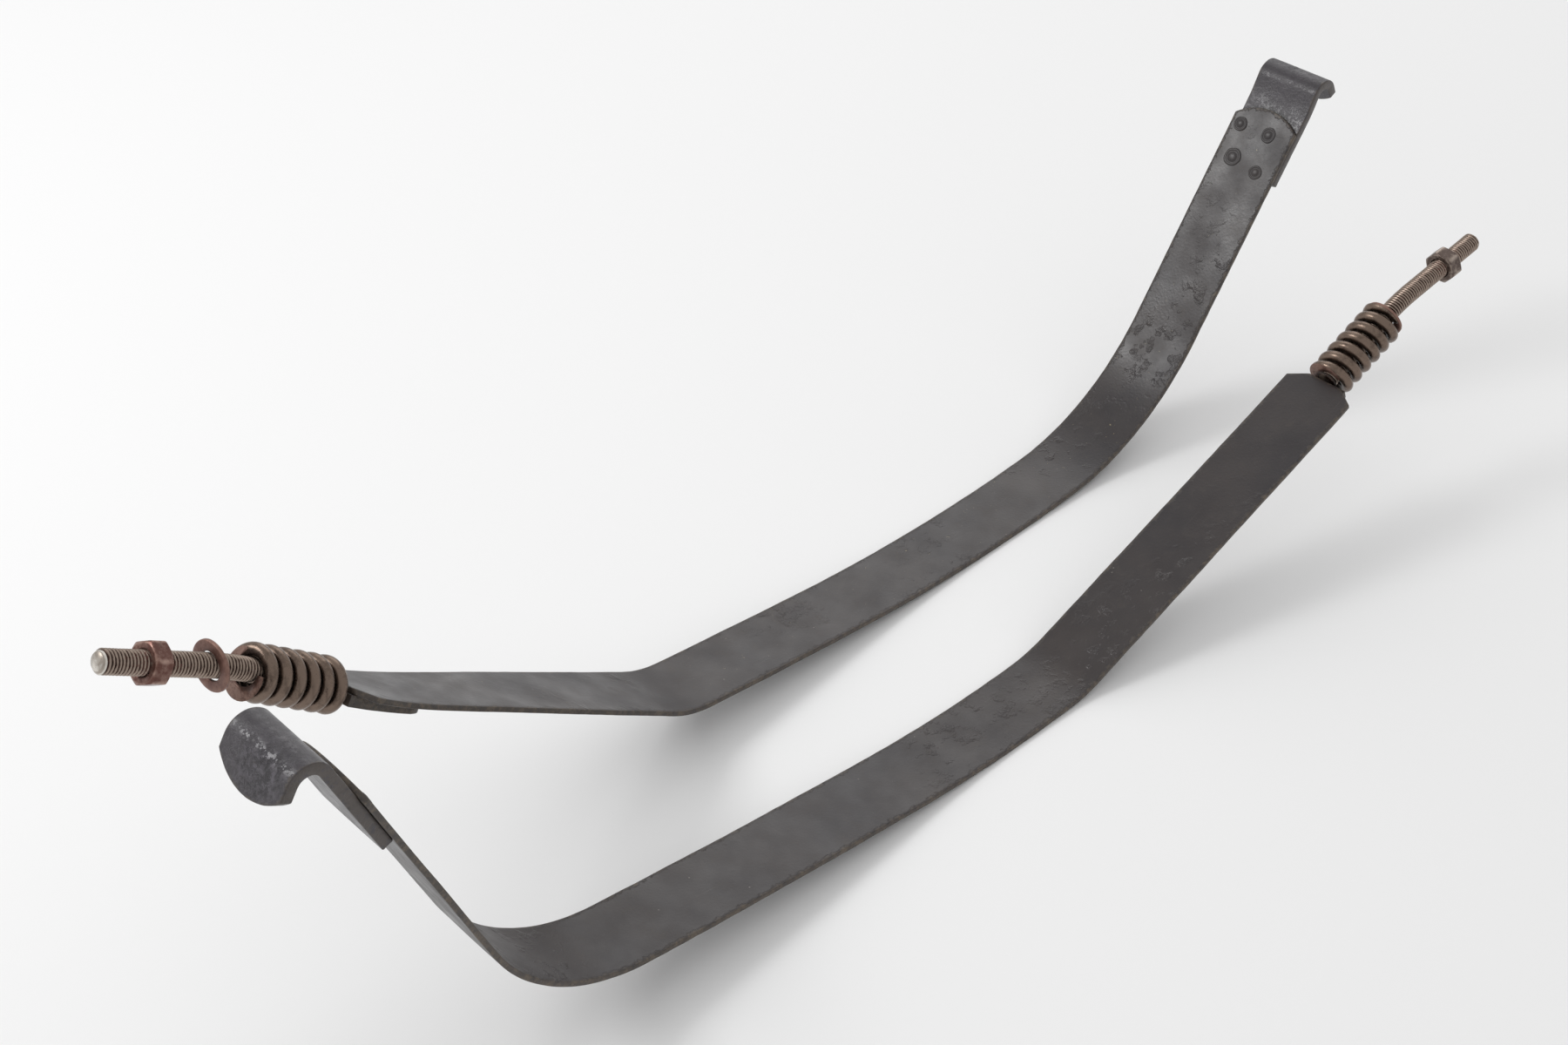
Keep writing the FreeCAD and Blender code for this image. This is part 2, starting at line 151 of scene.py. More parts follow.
@dataclass(frozen=True)
class Chain:
    """A bent strip's side view: straights and arcs, one after the other.

    Args:
        start: First point in the side view (x, z) and the heading there, in radians.
        segments: (length, turn) of each stretch, in metres and radians.
        twists: (distance, angle) pairs; the strip twists evenly between them.
    """

    start: tuple[float, float, float]
    segments: tuple[tuple[float, float], ...]
    twists: tuple[tuple[float, float], ...] = ((0.0, 0.0),)

    @property
    def length(self) -> float:
        """Length of the whole strip."""
        return sum(length for length, _ in self.segments)

    def knot(self, distance: float) -> tuple[float, float, float]:
        """Follows the side view, which runs on straight past both ends.

        Args:
            distance: How far from the start.

        Returns:
            The point and heading there.
        """
        x, z, heading = self.start
        left = distance
        for k, (length, turn) in enumerate(self.segments):
            last = k == len(self.segments) - 1
            run = left if (left < 0 or (last and turn == 0.0)) else min(left, length)
            bend = 0.0 if left < 0 else turn * run / length
            x, z, heading = stepped(x, z, heading, run, bend)
            left -= run
            if left <= 0:
                return x, z, heading
        return stepped(x, z, heading, left, 0.0)

    def twist(self, distance: float) -> float:
        """Finds how far the strip is twisted.

        Args:
            distance: How far from the start.

        Returns:
            The angle there.
        """
        before = self.twists[0]
        for after in self.twists[1:]:
            if distance <= after[0]:
                share = max(0.0, (distance - before[0]) / (after[0] - before[0]))
                return before[1] + (after[1] - before[1]) * share
            before = after
        return before[1]

    def place(self, distance: float) -> Place:
        """Finds a place on the strip's middle line.

        Args:
            distance: How far from the start.

        Returns:
            The place there.
        """
        x, z, heading = self.knot(distance)
        c, s = math.cos(heading), math.sin(heading)
        across, inward = Vector((0, -1, 0)), Vector((-s, 0, c))
        angle = self.twist(distance)
        ca, sa = math.cos(angle), math.sin(angle)
        return Place(
            Vector((x, 0, z)),
            Vector((c, 0, s)),
            across * ca + inward * sa,
            inward * ca - across * sa,
        )


def stepped(
    x: float, z: float, heading: float, length: float, turn: float
) -> tuple[float, float, float]:
    """The point and heading after one straight or arc.

    Args:
        x, z, heading: Where it starts.
        length: Length of the stretch.
        turn: Angle that it turns by, zero for a straight.

    Returns:
        Point and heading at its end.
    """
    if abs(turn) < 1e-9:
        return x + length * math.cos(heading), z + length * math.sin(heading), heading
    radius = length / turn
    end = heading + turn
    return (
        x + radius * (math.sin(end) - math.sin(heading)),
        z - radius * (math.cos(end) - math.cos(heading)),
        end,
    )


def smooth(low: float, high: float, value: float) -> float:
    """Zero below low, one above high and an even S between."""
    t = min(max((value - low) / (high - low), 0.0), 1.0)
    return t * t * (3 - 2 * t)


def rounded_end(width: float, rise: float) -> Callable[[float], float]:
    """Shapes the end of a strip as an arc.

    Args:
        width: Width of the strip.
        rise: How far the end bulges.

    Returns:
        Function of the distance from the middle of the end that says how far it falls back.
    """
    half = width / 2
    radius = (half * half + rise * rise) / (2 * rise)
    return lambda w: radius - math.sqrt(max(radius * radius - w * w, 0.0))


def clipped_end(width: float, along: float, across: float) -> Callable[[float], float]:
    """How far an end with clipped corners falls back at a distance from its middle."""
    flat = width / 2 - across
    return lambda w: max(abs(w) - flat, 0.0) / across * along


def grain(point: Vector, size: float, seed: float = 0.0) -> float:
    """Smooth noise from -1 to 1 with features of about a size in metres."""
    return noise.noise(point / size + Vector((seed, seed * 1.7, seed * 2.3)))


# ---------------------------------------------------------------- mesh helpers


def flat_layer(bm: bmesh.types.BMesh) -> bmesh.types.BMLayerItem:
    """Adds the layer that keeps how far along and across a vertex is, and how near a rim."""
    return bm.verts.layers.float_vector.new("flat")


def rim_bevel(bm: bmesh.types.BMesh, offset: float, segments: int, angle: float = 0.9) -> None:
    """Rounds every edge whose faces meet at more than an angle.

    Args:
        bm: The mesh.
        offset: Width of the rounding.
        segments: Faces across it.
        angle: Least angle between two faces, in radians.
    """
    sharp = [e for e in bm.edges if len(e.link_faces) == 2 and e.calc_face_angle(0.0) > angle]
    bmesh.ops.bevel(
        bm, geom=sharp, offset=offset, segments=segments, affect="EDGES", profile=0.5,
        material=-1, clamp_overlap=True,
    )


def closed(bm: bmesh.types.BMesh) -> None:
    """Fills open ends and points all faces outwards.

    Args:
        bm: The mesh.
    """
    open_edges = [e for e in bm.edges if e.is_boundary]
    if open_edges:
        bmesh.ops.holes_fill(bm, edges=open_edges, sides=0)
    bmesh.ops.recalc_face_normals(bm, faces=bm.faces)


def cut_at(bm: bmesh.types.BMesh, at: Vector, normal: Vector) -> list[bmesh.types.BMFace]:
    """Cuts away what lies past a plane and closes the cut.

    Args:
        bm: The mesh.
        at: Point on the plane.
        normal: The side that goes.

    Returns:
        The new faces of the cut.
    """
    geometry = [*bm.verts, *bm.edges, *bm.faces]
    bmesh.ops.bisect_plane(
        bm, geom=geometry, dist=1e-7, plane_co=at, plane_no=normal, clear_outer=True
    )
    rim = [e for e in bm.edges if e.is_boundary]
    rim = [e for e in rim if all(abs((v.co - at).dot(normal)) < 1e-6 for v in e.verts)]
    return bmesh.ops.holes_fill(bm, edges=rim, sides=0)["faces"]


def revolved(profile: list[tuple[float, float]], steps: int) -> bmesh.types.BMesh:
    """Spins a closed ring or knob about the X axis.

    Args:
        profile: Its half-section, as points (along, radius).
        steps: How many faces it has round the axis.

    Returns:
        The mesh.
    """
    bm = bmesh.new()
    corners = [bm.verts.new((x, 0.0, r)) for x, r in profile]
    for first, last in zip(corners, corners[1:] + corners[:1]):
        bm.edges.new((first, last))
    bmesh.ops.spin(
        bm, geom=[*bm.verts, *bm.edges], cent=(0, 0, 0), axis=(1, 0, 0), dvec=(0, 0, 0),
        angle=math.tau, steps=steps, use_merge=True, use_normal_flip=False, use_duplicate=False,
    )
    bmesh.ops.remove_doubles(bm, verts=bm.verts, dist=1e-7)
    bmesh.ops.recalc_face_normals(bm, faces=bm.faces)
    return bm


def piece(
    bm: bmesh.types.BMesh, lay: Lay, part: Part, materials: list[bpy.types.Material]
) -> bpy.types.Object:
    """Makes an object of a mesh, puts it on its CAD body and hides the CAD node it stands for.

    Args:
        bm: The finished mesh, in the row frame.
        lay: The strap it belongs to.
        part: What it is.
        materials: Its materials, in the order of the mesh's own slots.

    Returns:
        The object.
    """
    name = f"{lay.value}_{part.value}"
    mesh = bpy.data.meshes.new(f"{name}_look")
    if bm.calc_volume(signed=True) < 0:
        # On a long curved strip the recalculated normals can all point inwards.
        bmesh.ops.reverse_faces(bm, faces=bm.faces)
    for face in bm.faces:
        face.smooth = True
    bm.to_mesh(mesh)
    bm.free()
    for material in materials:
        mesh.materials.append(material)
    made = bpy.data.objects.new(f"{name}_look", mesh)
    bpy.context.scene.collection.objects.link(made)
    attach(made, f"{lay.value}_strap" if part in FIXED else name)
    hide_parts(name)
    return made


# ---------------------------------------------------------------- material helpers


def linear(hex_colour: str) -> tuple[float, float, float, float]:
    """Turns an sRGB hex colour to linear RGBA.

    Args:
        hex_colour: The colour, such as "4a4647".

    Returns:
        Red, green, blue and an alpha of 1.
    """
    values = [int(hex_colour[k : k + 2], 16) / 255 for k in (0, 2, 4)]
    turned = [v / 12.92 if v <= 0.04045 else ((v + 0.055) / 1.055) ** 2.4 for v in values]
    return (turned[0], turned[1], turned[2], 1.0)


def per_mm(size: float) -> float:
    """Scale of a pattern whose features are this many millimetres across."""
    return 1.0 / (size * MM)


Socket = bpy.types.NodeSocket
Value = Socket | float | tuple[float, ...]


class Shader:
    """One material's nodes, added one at a time."""

    def __init__(self, name: str) -> None:
        """Starts an empty material with a surface.

        Args:
            name: The material's name.
        """
        self.material = bpy.data.materials.new(name)
        self.material.use_nodes = True
        self.tree = self.material.node_tree
        self.tree.nodes.clear()
        self.surface = self.tree.nodes.new("ShaderNodeBsdfPrincipled")
        end = self.tree.nodes.new("ShaderNodeOutputMaterial")
        self.tree.links.new(self.surface.outputs[0], end.inputs["Surface"])
        self.place = self.add("TexCoord", {}, "Object")

    def add(
        self, kind: str, inputs: dict[str | int, Value], out: str | int = 0, **settings: str
    ) -> Socket:
        """Adds a node with its settings and links.

        Args:
            kind: Its Blender type, without the "ShaderNode" that all of them start with.
            inputs: A value or a socket to link for each input, by name or number.
            out: The output that is wanted.
            settings: The node's own properties.

        Returns:
            The output.
        """
        node = self.tree.nodes.new(f"ShaderNode{kind}")
        for key, value in settings.items():
            setattr(node, key, value)
        self.feed(node, inputs)
        return node.outputs[out]

    def feed(self, node: bpy.types.Node, inputs: dict[str | int, Value]) -> None:
        """Sets or links inputs of a node.

        Args:
            node: The node.
            inputs: A value or a socket to link for each input, by name or number.
        """
        for key, value in inputs.items():
            if isinstance(value, Socket):
                self.tree.links.new(value, node.inputs[key])
            else:
                node.inputs[key].default_value = value

    def dress(self, inputs: dict[str | int, Value]) -> bpy.types.Material:
        """Feeds the surface and gives the finished material back."""
        self.feed(self.surface, inputs)
        return self.material


# ---------------------------------------------------------------- finishes


@dataclass(frozen=True)
class BlackPaint:
    """Semi-gloss black stoving enamel, dipped and baked on rolled flat steel.

    It gives a dark, faintly warm grey with a soft sheen, a fine orange-peel skin, pale dust
    specks, hair scratches along the strip and edges rubbed through to brown steel.

    Args:
        body, worn: Its colour, and where it has been handled.
        rim, steel: Edges, where it is worn thin and where it is worn through.
        scratch, dust, fleck: Hair scratches, dust specks and yellowish flecks.
        rough: Roughness of the plain enamel.
        rim_wear: How much of the wear on edges shows.
        fleck_from: Height of the noise from which flecks show; less gives more.
        cloud, smudge, skin, chip, fleck_size, lump: Sizes of the patterns, in millimetres.
        scratch_width, dust_apart: Width of a scratch and gap between specks, in millimetres.
        skin_depth, chip_depth, lump_depth: Heights of the relief, in millimetres.
    """

    name: str = "black_enamel"
    body: str = "262123"
    worn: str = "352e2c"
    rim: str = "484038"
    steel: str = "6c6257"
    scratch: str = "5f5a56"
    dust: str = "8a847e"
    fleck: str = "8d8166"
    rough: float = 0.36
    rim_wear: float = 0.7
    fleck_from: float = 0.74
    cloud: float = 38
    smudge: float = 7
    skin: float = 1.1
    chip: float = 2.6
    fleck_size: float = 1.6
    lump: float = 6.5
    scratch_width: float = 0.7
    dust_apart: float = 5.5
    skin_depth: float = 0.06
    chip_depth: float = 0.08
    lump_depth: float = 0.35

    def build(self) -> bpy.types.Material:
        """Makes the material.

        Returns:
            The material.
        """
        s = Shader(self.name)
        flat = s.add("Attribute", {}, "Vector", attribute_name="flat")
        at = {"Vector": s.place}

        # Handling and smudges
        noise = s.add(
            "TexNoise", {**at, "Scale": per_mm(self.cloud), "Detail": 5, "Roughness": 0.6})
        share = s.add("MapRange", {0: noise, 1: 0.35, 2: 0.7})
        base = s.add(
            "Mix", {0: share, 6: linear(self.body), 7: linear(self.worn)}, 2, data_type="RGBA")
        noise = s.add(
            "TexNoise", {**at, "Scale": per_mm(self.smudge), "Detail": 6, "Roughness": 0.65})
        share = s.add("MapRange", {0: noise, 1: 0.56, 2: 0.82, 4: 0.35})
        base = s.add("Mix", {0: share, 6: base, 7: linear(self.rim)}, 2, data_type="RGBA")

        # Hair scratches, drawn out along the strip, in patches
        drawn = s.add("Mapping", {"Vector": flat, "Scale": (0.012, 1.0, 1.0)})
        noise = s.add("TexNoise", {"Vector": drawn, "Scale": per_mm(self.scratch_width),
                                   "Detail": 2, "Roughness": 0.5})
        hair = s.add("MapRange", {0: noise, 1: 0.69, 2: 0.74})
        noise = s.add("TexNoise", {**at, "Scale": per_mm(24), "Detail": 2, "Roughness": 0.5})
        patch = s.add("MapRange", {0: noise, 1: 0.48, 2: 0.62, 4: 0.3})
        share = s.add("Math", {0: hair, 1: patch}, operation="MULTIPLY")
        base = s.add("Mix", {0: share, 6: base, 7: linear(self.scratch)}, 2, data_type="RGBA")

        # Dust specks, in patches
        cells = s.add("TexVoronoi", {**at, "Scale": per_mm(self.dust_apart)}, "Distance")
        dots = s.add("MapRange", {0: cells, 1: 0.035, 2: 0.075, 3: 0.4, 4: 0.0})
        noise = s.add("TexNoise", {**at, "Scale": per_mm(11), "Detail": 2, "Roughness": 0.55})
        patch = s.add("MapRange", {0: noise, 1: 0.55, 2: 0.6})
        share = s.add("Math", {0: dots, 1: patch}, operation="MULTIPLY")
        base = s.add("Mix", {0: share, 6: base, 7: linear(self.dust)}, 2, data_type="RGBA")

        # Yellowish flecks
        noise = s.add(
            "TexNoise", {**at, "Scale": per_mm(self.fleck_size), "Detail": 4, "Roughness": 0.7})
        share = s.add(
            "MapRange", {0: noise, 1: self.fleck_from, 2: self.fleck_from + 0.05, 4: 0.8})
        base = s.add("Mix", {0: share, 6: base, 7: linear(self.fleck)}, 2, data_type="RGBA")

        # Edges worn to brown and then to steel, along a ragged line
        rim = s.add("SeparateXYZ", {0: flat}, 2)
        noise = s.add(
            "TexNoise", {**at, "Scale": per_mm(self.chip), "Detail": 5, "Roughness": 0.7})
        shift = s.add("MapRange", {0: noise, 1: 0.3, 2: 0.7, 3: -0.42, 4: 0.42})
        ragged = s.add("Math", {0: rim, 1: shift}, operation="ADD")
        brown = s.add("MapRange", {0: ragged, 1: 0.62, 2: 0.92, 4: self.rim_wear})
        bare = s.add("MapRange", {0: ragged, 1: 0.98, 2: 1.2, 4: self.rim_wear})
        base = s.add("Mix", {0: brown, 6: base, 7: linear(self.rim)}, 2, data_type="RGBA")
        base = s.add("Mix", {0: bare, 6: base, 7: linear(self.steel)}, 2, data_type="RGBA")
        metal = s.add("Math", {0: bare, 1: 0.7}, operation="MULTIPLY")

        # Uneven gloss, duller where it is worn
        noise = s.add("TexNoise", {**at, "Scale": per_mm(14), "Detail": 4, "Roughness": 0.55})
        gloss = s.add("MapRange", {
            0: noise, 1: 0.3, 2: 0.7, 3: self.rough - 0.06, 4: self.rough + 0.1})
        rough = s.add("Math", {0: brown, 1: 0.14, 2: gloss}, operation="MULTIPLY_ADD")

        # Chipped edges, runs and lumps, and orange peel over both
        step = s.add("MapRange", {0: ragged, 1: 0.6, 2: 0.75, 3: 1.0, 4: 0.0})
        normal = s.add(
            "Bump", {"Height": step, "Strength": 1.0, "Distance": self.chip_depth * MM})
        noise = s.add(
            "TexNoise", {**at, "Scale": per_mm(self.lump), "Detail": 4, "Roughness": 0.6})
        lumps = s.add("MapRange", {0: noise, 1: 0.55, 2: 0.75})
        noise = s.add("TexNoise", {**at, "Scale": per_mm(60), "Detail": 1, "Roughness": 0.5})
        patch = s.add("MapRange", {0: noise, 1: 0.45, 2: 0.6})
        height = s.add("Math", {0: lumps, 1: patch}, operation="MULTIPLY")
        normal = s.add("Bump", {"Height": height, "Normal": normal, "Strength": 1.0,
                                "Distance": self.lump_depth * MM})
        noise = s.add(
            "TexNoise", {**at, "Scale": per_mm(self.skin), "Detail": 3, "Roughness": 0.5})
        normal = s.add("Bump", {"Height": noise, "Normal": normal, "Strength": 1.0,
                                "Distance": self.skin_depth * MM})
        return s.dress({"Base Color": base, "Roughness": rough, "Metallic": metal,
                        "Normal": normal, "IOR": PAINT_IOR})


@dataclass(frozen=True)
class HookPaint:
    """The same enamel on thick hot-bent plate, thinner and blued, with corrosion pits.

    It gives a cooler grey, darker round the curl, with a matt patch of small pits on the lip.
    The mesh carries "pits" (1 in the middle of the patch) and "dirt" (1 in the seam: a paint gap
    with painted contact shadow).

    Args:
        body, worn: Its colour, and where it has been handled.
        pit, rubbed: Floors of the pits, and the rubbed enamel round them.
        rim, rust, dirt: Worn edges, rust stains, and the seam's paint gap with painted contact
            shadow.
        rough: Roughness of the plain enamel.
        cloud, mottle, pit_size, chip, stain, skin: Sizes of the patterns, in millimetres.
        pit_depth, skin_depth: Heights of the relief, in millimetres.
    """

    name: str = "black_enamel_on_plate"
    body: str = "2a262a"
    worn: str = "3b363b"
    pit: str = "1f1d1e"
    rubbed: str = "5d5960"
    rim: str = "48403a"
    rust: str = "5a4638"
    # Near black for the seam: its paint gap and painted contact shadow.
    seam_gap_and_shadow: str = "0f0d0d"
    rough: float = 0.33
    cloud: float = 16
    mottle: float = 3.0
    pit_size: float = 2.1
    chip: float = 2.2
    stain: float = 3.4
    skin: float = 1.0
    pit_depth: float = 0.25
    skin_depth: float = 0.07

    def build(self) -> bpy.types.Material:
        """Makes the material.

        Returns:
            The material.
        """
        s = Shader(self.name)
        flat = s.add("Attribute", {}, "Vector", attribute_name="flat")
        pits = s.add("Attribute", {}, "Fac", attribute_name="pits")
        seam_gap_and_shadow = s.add("Attribute", {}, "Fac", attribute_name="seam_gap_and_shadow")
        at = {"Vector": s.place}

        # Handling
        noise = s.add(
            "TexNoise", {**at, "Scale": per_mm(self.cloud), "Detail": 5, "Roughness": 0.6})
        share = s.add("MapRange", {0: noise, 1: 0.35, 2: 0.68})
        base = s.add(
            "Mix", {0: share, 6: linear(self.body), 7: linear(self.worn)}, 2, data_type="RGBA")

        # The pitted patch: rubbed enamel and sunken spots
        noise = s.add(
            "TexNoise", {**at, "Scale": per_mm(self.mottle), "Detail": 5, "Roughness": 0.7})
        mottle = s.add("MapRange", {0: noise, 1: 0.35, 2: 0.65, 4: 0.75})
        share = s.add("Math", {0: pits, 1: mottle}, operation="MULTIPLY")
        base = s.add("Mix", {0: share, 6: base, 7: linear(self.rubbed)}, 2, data_type="RGBA")
        noise = s.add(
            "TexNoise", {**at, "Scale": per_mm(self.pit_size), "Detail": 5, "Roughness": 0.72})
        small = s.add("MapRange", {0: noise, 1: 0.46, 2: 0.6})
        sunk = s.add("Math", {0: pits, 1: small}, operation="MULTIPLY")
        share = s.add("Math", {0: sunk, 1: 0.6}, operation="MULTIPLY")
        base = s.add("Mix", {0: share, 6: base, 7: linear(self.pit)}, 2, data_type="RGBA")

        # The seam: a paint gap darkened further as painted contact shadow; worn edges and rust
        # stains
        share = s.add("Math", {0: seam_gap_and_shadow, 1: 0.85}, operation="MULTIPLY")
        base = s.add("Mix", {0: share, 6: base, 7: linear(self.seam_gap_and_shadow)}, 2, data_type="RGBA")
        rim = s.add("SeparateXYZ", {0: flat}, 2)
        noise = s.add(
            "TexNoise", {**at, "Scale": per_mm(self.chip), "Detail": 5, "Roughness": 0.7})
        shift = s.add("MapRange", {0: noise, 1: 0.3, 2: 0.7, 3: -0.42, 4: 0.42})
        ragged = s.add("Math", {0: rim, 1: shift}, operation="ADD")
        share = s.add("MapRange", {0: ragged, 1: 0.7, 2: 0.95, 4: 0.8})
        base = s.add("Mix", {0: share, 6: base, 7: linear(self.rim)}, 2, data_type="RGBA")
        noise = s.add(
            "TexNoise", {**at, "Scale": per_mm(self.stain), "Detail": 5, "Roughness": 0.7})
        share = s.add("MapRange", {0: noise, 1: 0.68, 2: 0.76, 4: 0.5})
        base = s.add("Mix", {0: share, 6: base, 7: linear(self.rust)}, 2, data_type="RGBA")

        # Uneven gloss, matt in the pits
        noise = s.add("TexNoise", {**at, "Scale": per_mm(9), "Detail": 4, "Roughness": 0.55})
        gloss = s.add("MapRange", {
            0: noise, 1: 0.3, 2: 0.7, 3: self.rough - 0.08, 4: self.rough + 0.08})
        rough = s.add("Math", {0: sunk, 1: 0.3, 2: gloss}, operation="MULTIPLY_ADD")

        # Pits, and orange peel over them
        height = s.add("Math", {0: sunk, 1: -1.0}, operation="MULTIPLY")
        normal = s.add(
            "Bump", {"Height": height, "Strength": 1.0, "Distance": self.pit_depth * MM})
        noise = s.add(
            "TexNoise", {**at, "Scale": per_mm(self.skin), "Detail": 3, "Roughness": 0.55})
        normal = s.add("Bump", {"Height": noise, "Normal": normal, "Strength": 1.0,
                                "Distance": self.skin_depth * MM})
        return s.dress(
            {"Base Color": base, "Roughness": rough, "Normal": normal, "IOR": PAINT_IOR})


@dataclass(frozen=True)
class BareSteel:
    """Bare low-carbon steel that has stood in the weather, with a thin brown oxide skin.

    It gives a dull warm metal, brighter where it is rubbed, with rust in clouds and in every
    hollow. The mesh carries "rub" (1 on crests and edges; on the spring it also lays painted
    shade, low on the inner side of the coil) and "rust" (1 where it is heaviest).

    Args:
        bright, skin, rust, spot: Rubbed steel, its oxide skin, rust and dark spots.
        rough, metal: Roughness and metallic share where there is no rust.
        rust_share: How much rust there is; more gives more.
        cloud: Size of the clouds, in millimetres.
        pit, pit_depth: Size and depth of the fine pitting, in millimetres.
    """

    name: str
    bright: str
    skin: str
    rust: str
    rough: float
    metal: float
    rust_share: float
    cloud: float = 3.0
    pit_depth: float = 0.05
    pit: float = 0.6
    spot: str = "352a26"

    def build(self) -> bpy.types.Material:
        """Makes the material.

        Returns:
            The material.
        """
        s = Shader(self.name)
        rub_and_shade = s.add("Attribute", {}, "Fac", attribute_name="rub_and_shade")
        rust = s.add("Attribute", {}, "Fac", attribute_name="rust")
        at = {"Vector": s.place}

        # Rubbed steel and its oxide skin; on the spring the skin also stands for painted shade on
        # the inner side of the coil
        clouds = s.add(
            "TexNoise", {**at, "Scale": per_mm(self.cloud), "Detail": 6, "Roughness": 0.65})
        shift = s.add("MapRange", {0: clouds, 1: 0.3, 2: 0.7, 3: -0.35, 4: 0.35})
        lit = s.add("Math", {0: rub_and_shade, 1: shift}, operation="ADD")
        share = s.add("MapRange", {0: lit, 1: 0.25, 2: 0.85})
        base = s.add(
            "Mix", {0: share, 6: linear(self.skin), 7: linear(self.bright)}, 2, data_type="RGBA")

        # Rust in clouds, and dark spots
        noise = s.add(
            "TexNoise", {**at, "Scale": per_mm(self.cloud * 0.6), "Detail": 6, "Roughness": 0.7})
        shift = s.add("MapRange", {0: noise, 1: 0.3, 2: 0.75, 3: -0.5, 4: 0.5})
        rusty = s.add("Math", {0: rust, 1: shift}, operation="ADD")
        eaten = s.add(
            "MapRange", {0: rusty, 1: 0.62 - self.rust_share, 2: 1.0 - self.rust_share})
        base = s.add("Mix", {0: eaten, 6: base, 7: linear(self.rust)}, 2, data_type="RGBA")
        noise = s.add(
            "TexNoise", {**at, "Scale": per_mm(self.cloud * 1.7), "Detail": 5, "Roughness": 0.7})
        share = s.add("MapRange", {0: noise, 1: 0.6, 2: 0.72, 4: 0.45})
        base = s.add("Mix", {0: share, 6: base, 7: linear(self.spot)}, 2, data_type="RGBA")

        # Duller and less metallic where it is rusted, with fine pitting all over
        gloss = s.add("MapRange", {
            0: clouds, 1: 0.3, 2: 0.7, 3: self.rough - 0.07, 4: self.rough + 0.1})
        rough = s.add("Math", {0: eaten, 1: 0.25, 2: gloss}, operation="MULTIPLY_ADD")
        metal = s.add("MapRange", {0: eaten, 3: self.metal, 4: 0.15})
        noise = s.add(
            "TexNoise", {**at, "Scale": per_mm(self.pit), "Detail": 4, "Roughness": 0.65})
        normal = s.add(
            "Bump", {"Height": noise, "Strength": 1.0, "Distance": self.pit_depth * MM})
        return s.dress(
            {"Base Color": base, "Roughness": rough, "Metallic": metal, "Normal": normal})


@dataclass(frozen=True)
class Finishes:
    """All the finishes of the object, made once."""

    band: bpy.types.Material
    rear_band: bpy.types.Material
    hook: bpy.types.Material
    weld: bpy.types.Material
    thread: bpy.types.Material
    tip: bpy.types.Material
    spring: bpy.types.Material
    ground: bpy.types.Material
    washer: bpy.types.Material
    rear_nut: bpy.types.Material
    front_nut: bpy.types.Material

    @classmethod
    def made(cls) -> "Finishes":
        """Builds every material.

        Returns:
            All the finishes.
        """
        return cls(
            band=BlackPaint().build(),
            rear_band=BlackPaint(name="black_enamel_rear", fleck_from=0.68).build(),
            hook=HookPaint().build(),
            # Arc weld bead, wire brushed and painted over: dark, lumpy and matt.
            weld=BareSteel("weld_bead", "5c544e", "3a3532", "4a3428", 0.6, 0.3, 0.35, 1.5,
                           0.2).build(),
            # Rolled M8 thread: metallic crests, brown in the roots.
            thread=BareSteel("rolled_thread", "9a8a7e", "3b2c26", "5e352b", 0.3, 0.9,
                             0.16, 2.2).build(),
            # The stud's chamfered end, bright where spanners and nuts have started on it.
            tip=BareSteel("chamfered_end", "d3cec6", "a39a90", "6b5546", 0.3, 0.9, -0.1,
                          1.6).build(),
            # Oil-tempered spring wire with its bronze-brown temper skin.
            spring=BareSteel("spring_wire", "76665b", "3a2f2a", "43302a", 0.27, 0.9, 0.03,
                             4.0).build(),
            # Ends ground flat on a wheel, since rusted.
            ground=BareSteel("ground_end", "886c60", "60463d", "54362c", 0.44, 0.5, 0.22,
                             2.0).build(),
            # Stamped washer and hot-forged nuts, red-brown with light rust.
            washer=BareSteel("stamped_washer", "86685d", "60423a", "55352c", 0.44, 0.6, 0.22,
                             3.0).build(),
            rear_nut=BareSteel("forged_nut_rusty", "a88c80", "64433b", "5e3a31", 0.32, 0.7,
                               0.16, 3.5).build(),
            front_nut=BareSteel("forged_nut", "aa9c91", "5a4d47", "4f3c35", 0.32, 0.75, 0.06,
                                3.5).build(),
        )


# ---------------------------------------------------------------- the strap's own form


@dataclass(frozen=True)
class Bends:
    """How one strap is bent and how it lies, in degrees and millimetres.

    Args:
        heading, rock: How it is turned on the floor, and how far it is rocked over.
        hook_bend, hook_bend_radius: The bend between the hook leg and the bottom of the U.
        bow_hook, bow_stud: How far the two halves of the bottom bow upwards.
        stud_bend, stud_bend_radius, stud_leg: The bend to the stud leg, and its length.
        end_turn: How far the end of the stud leg turns in.
        twist, end_twist: Twist of the stud leg before its last run and at its end.
        hook_lean: How far the hook plate leans off the band.
        stud_out, stud_root: How far the stud stands out, and the straight part at its root.
        stud_arc, stud_turn: Length of the stud's bend and how far it turns.
        spring_turn: How far the spring is turned on the stud.
        washer_at, washer_tilt: The washer's middle, past the end of the band, and its tilt.
        nut_at, nut_spin: The nut's middle, past the end of the band, and its turn.
    """

    heading: float
    rock: float
    hook_bend: float
    hook_bend_radius: float
    bow_hook: float
    bow_stud: float
    stud_bend: float
    stud_bend_radius: float
    stud_leg: float
    end_turn: float
    twist: float
    end_twist: float
    hook_lean: float
    stud_out: float
    stud_root: float
    stud_arc: float
    stud_turn: float
    spring_turn: float
    washer_at: float
    washer_tilt: float
    nut_at: float
    nut_spin: float


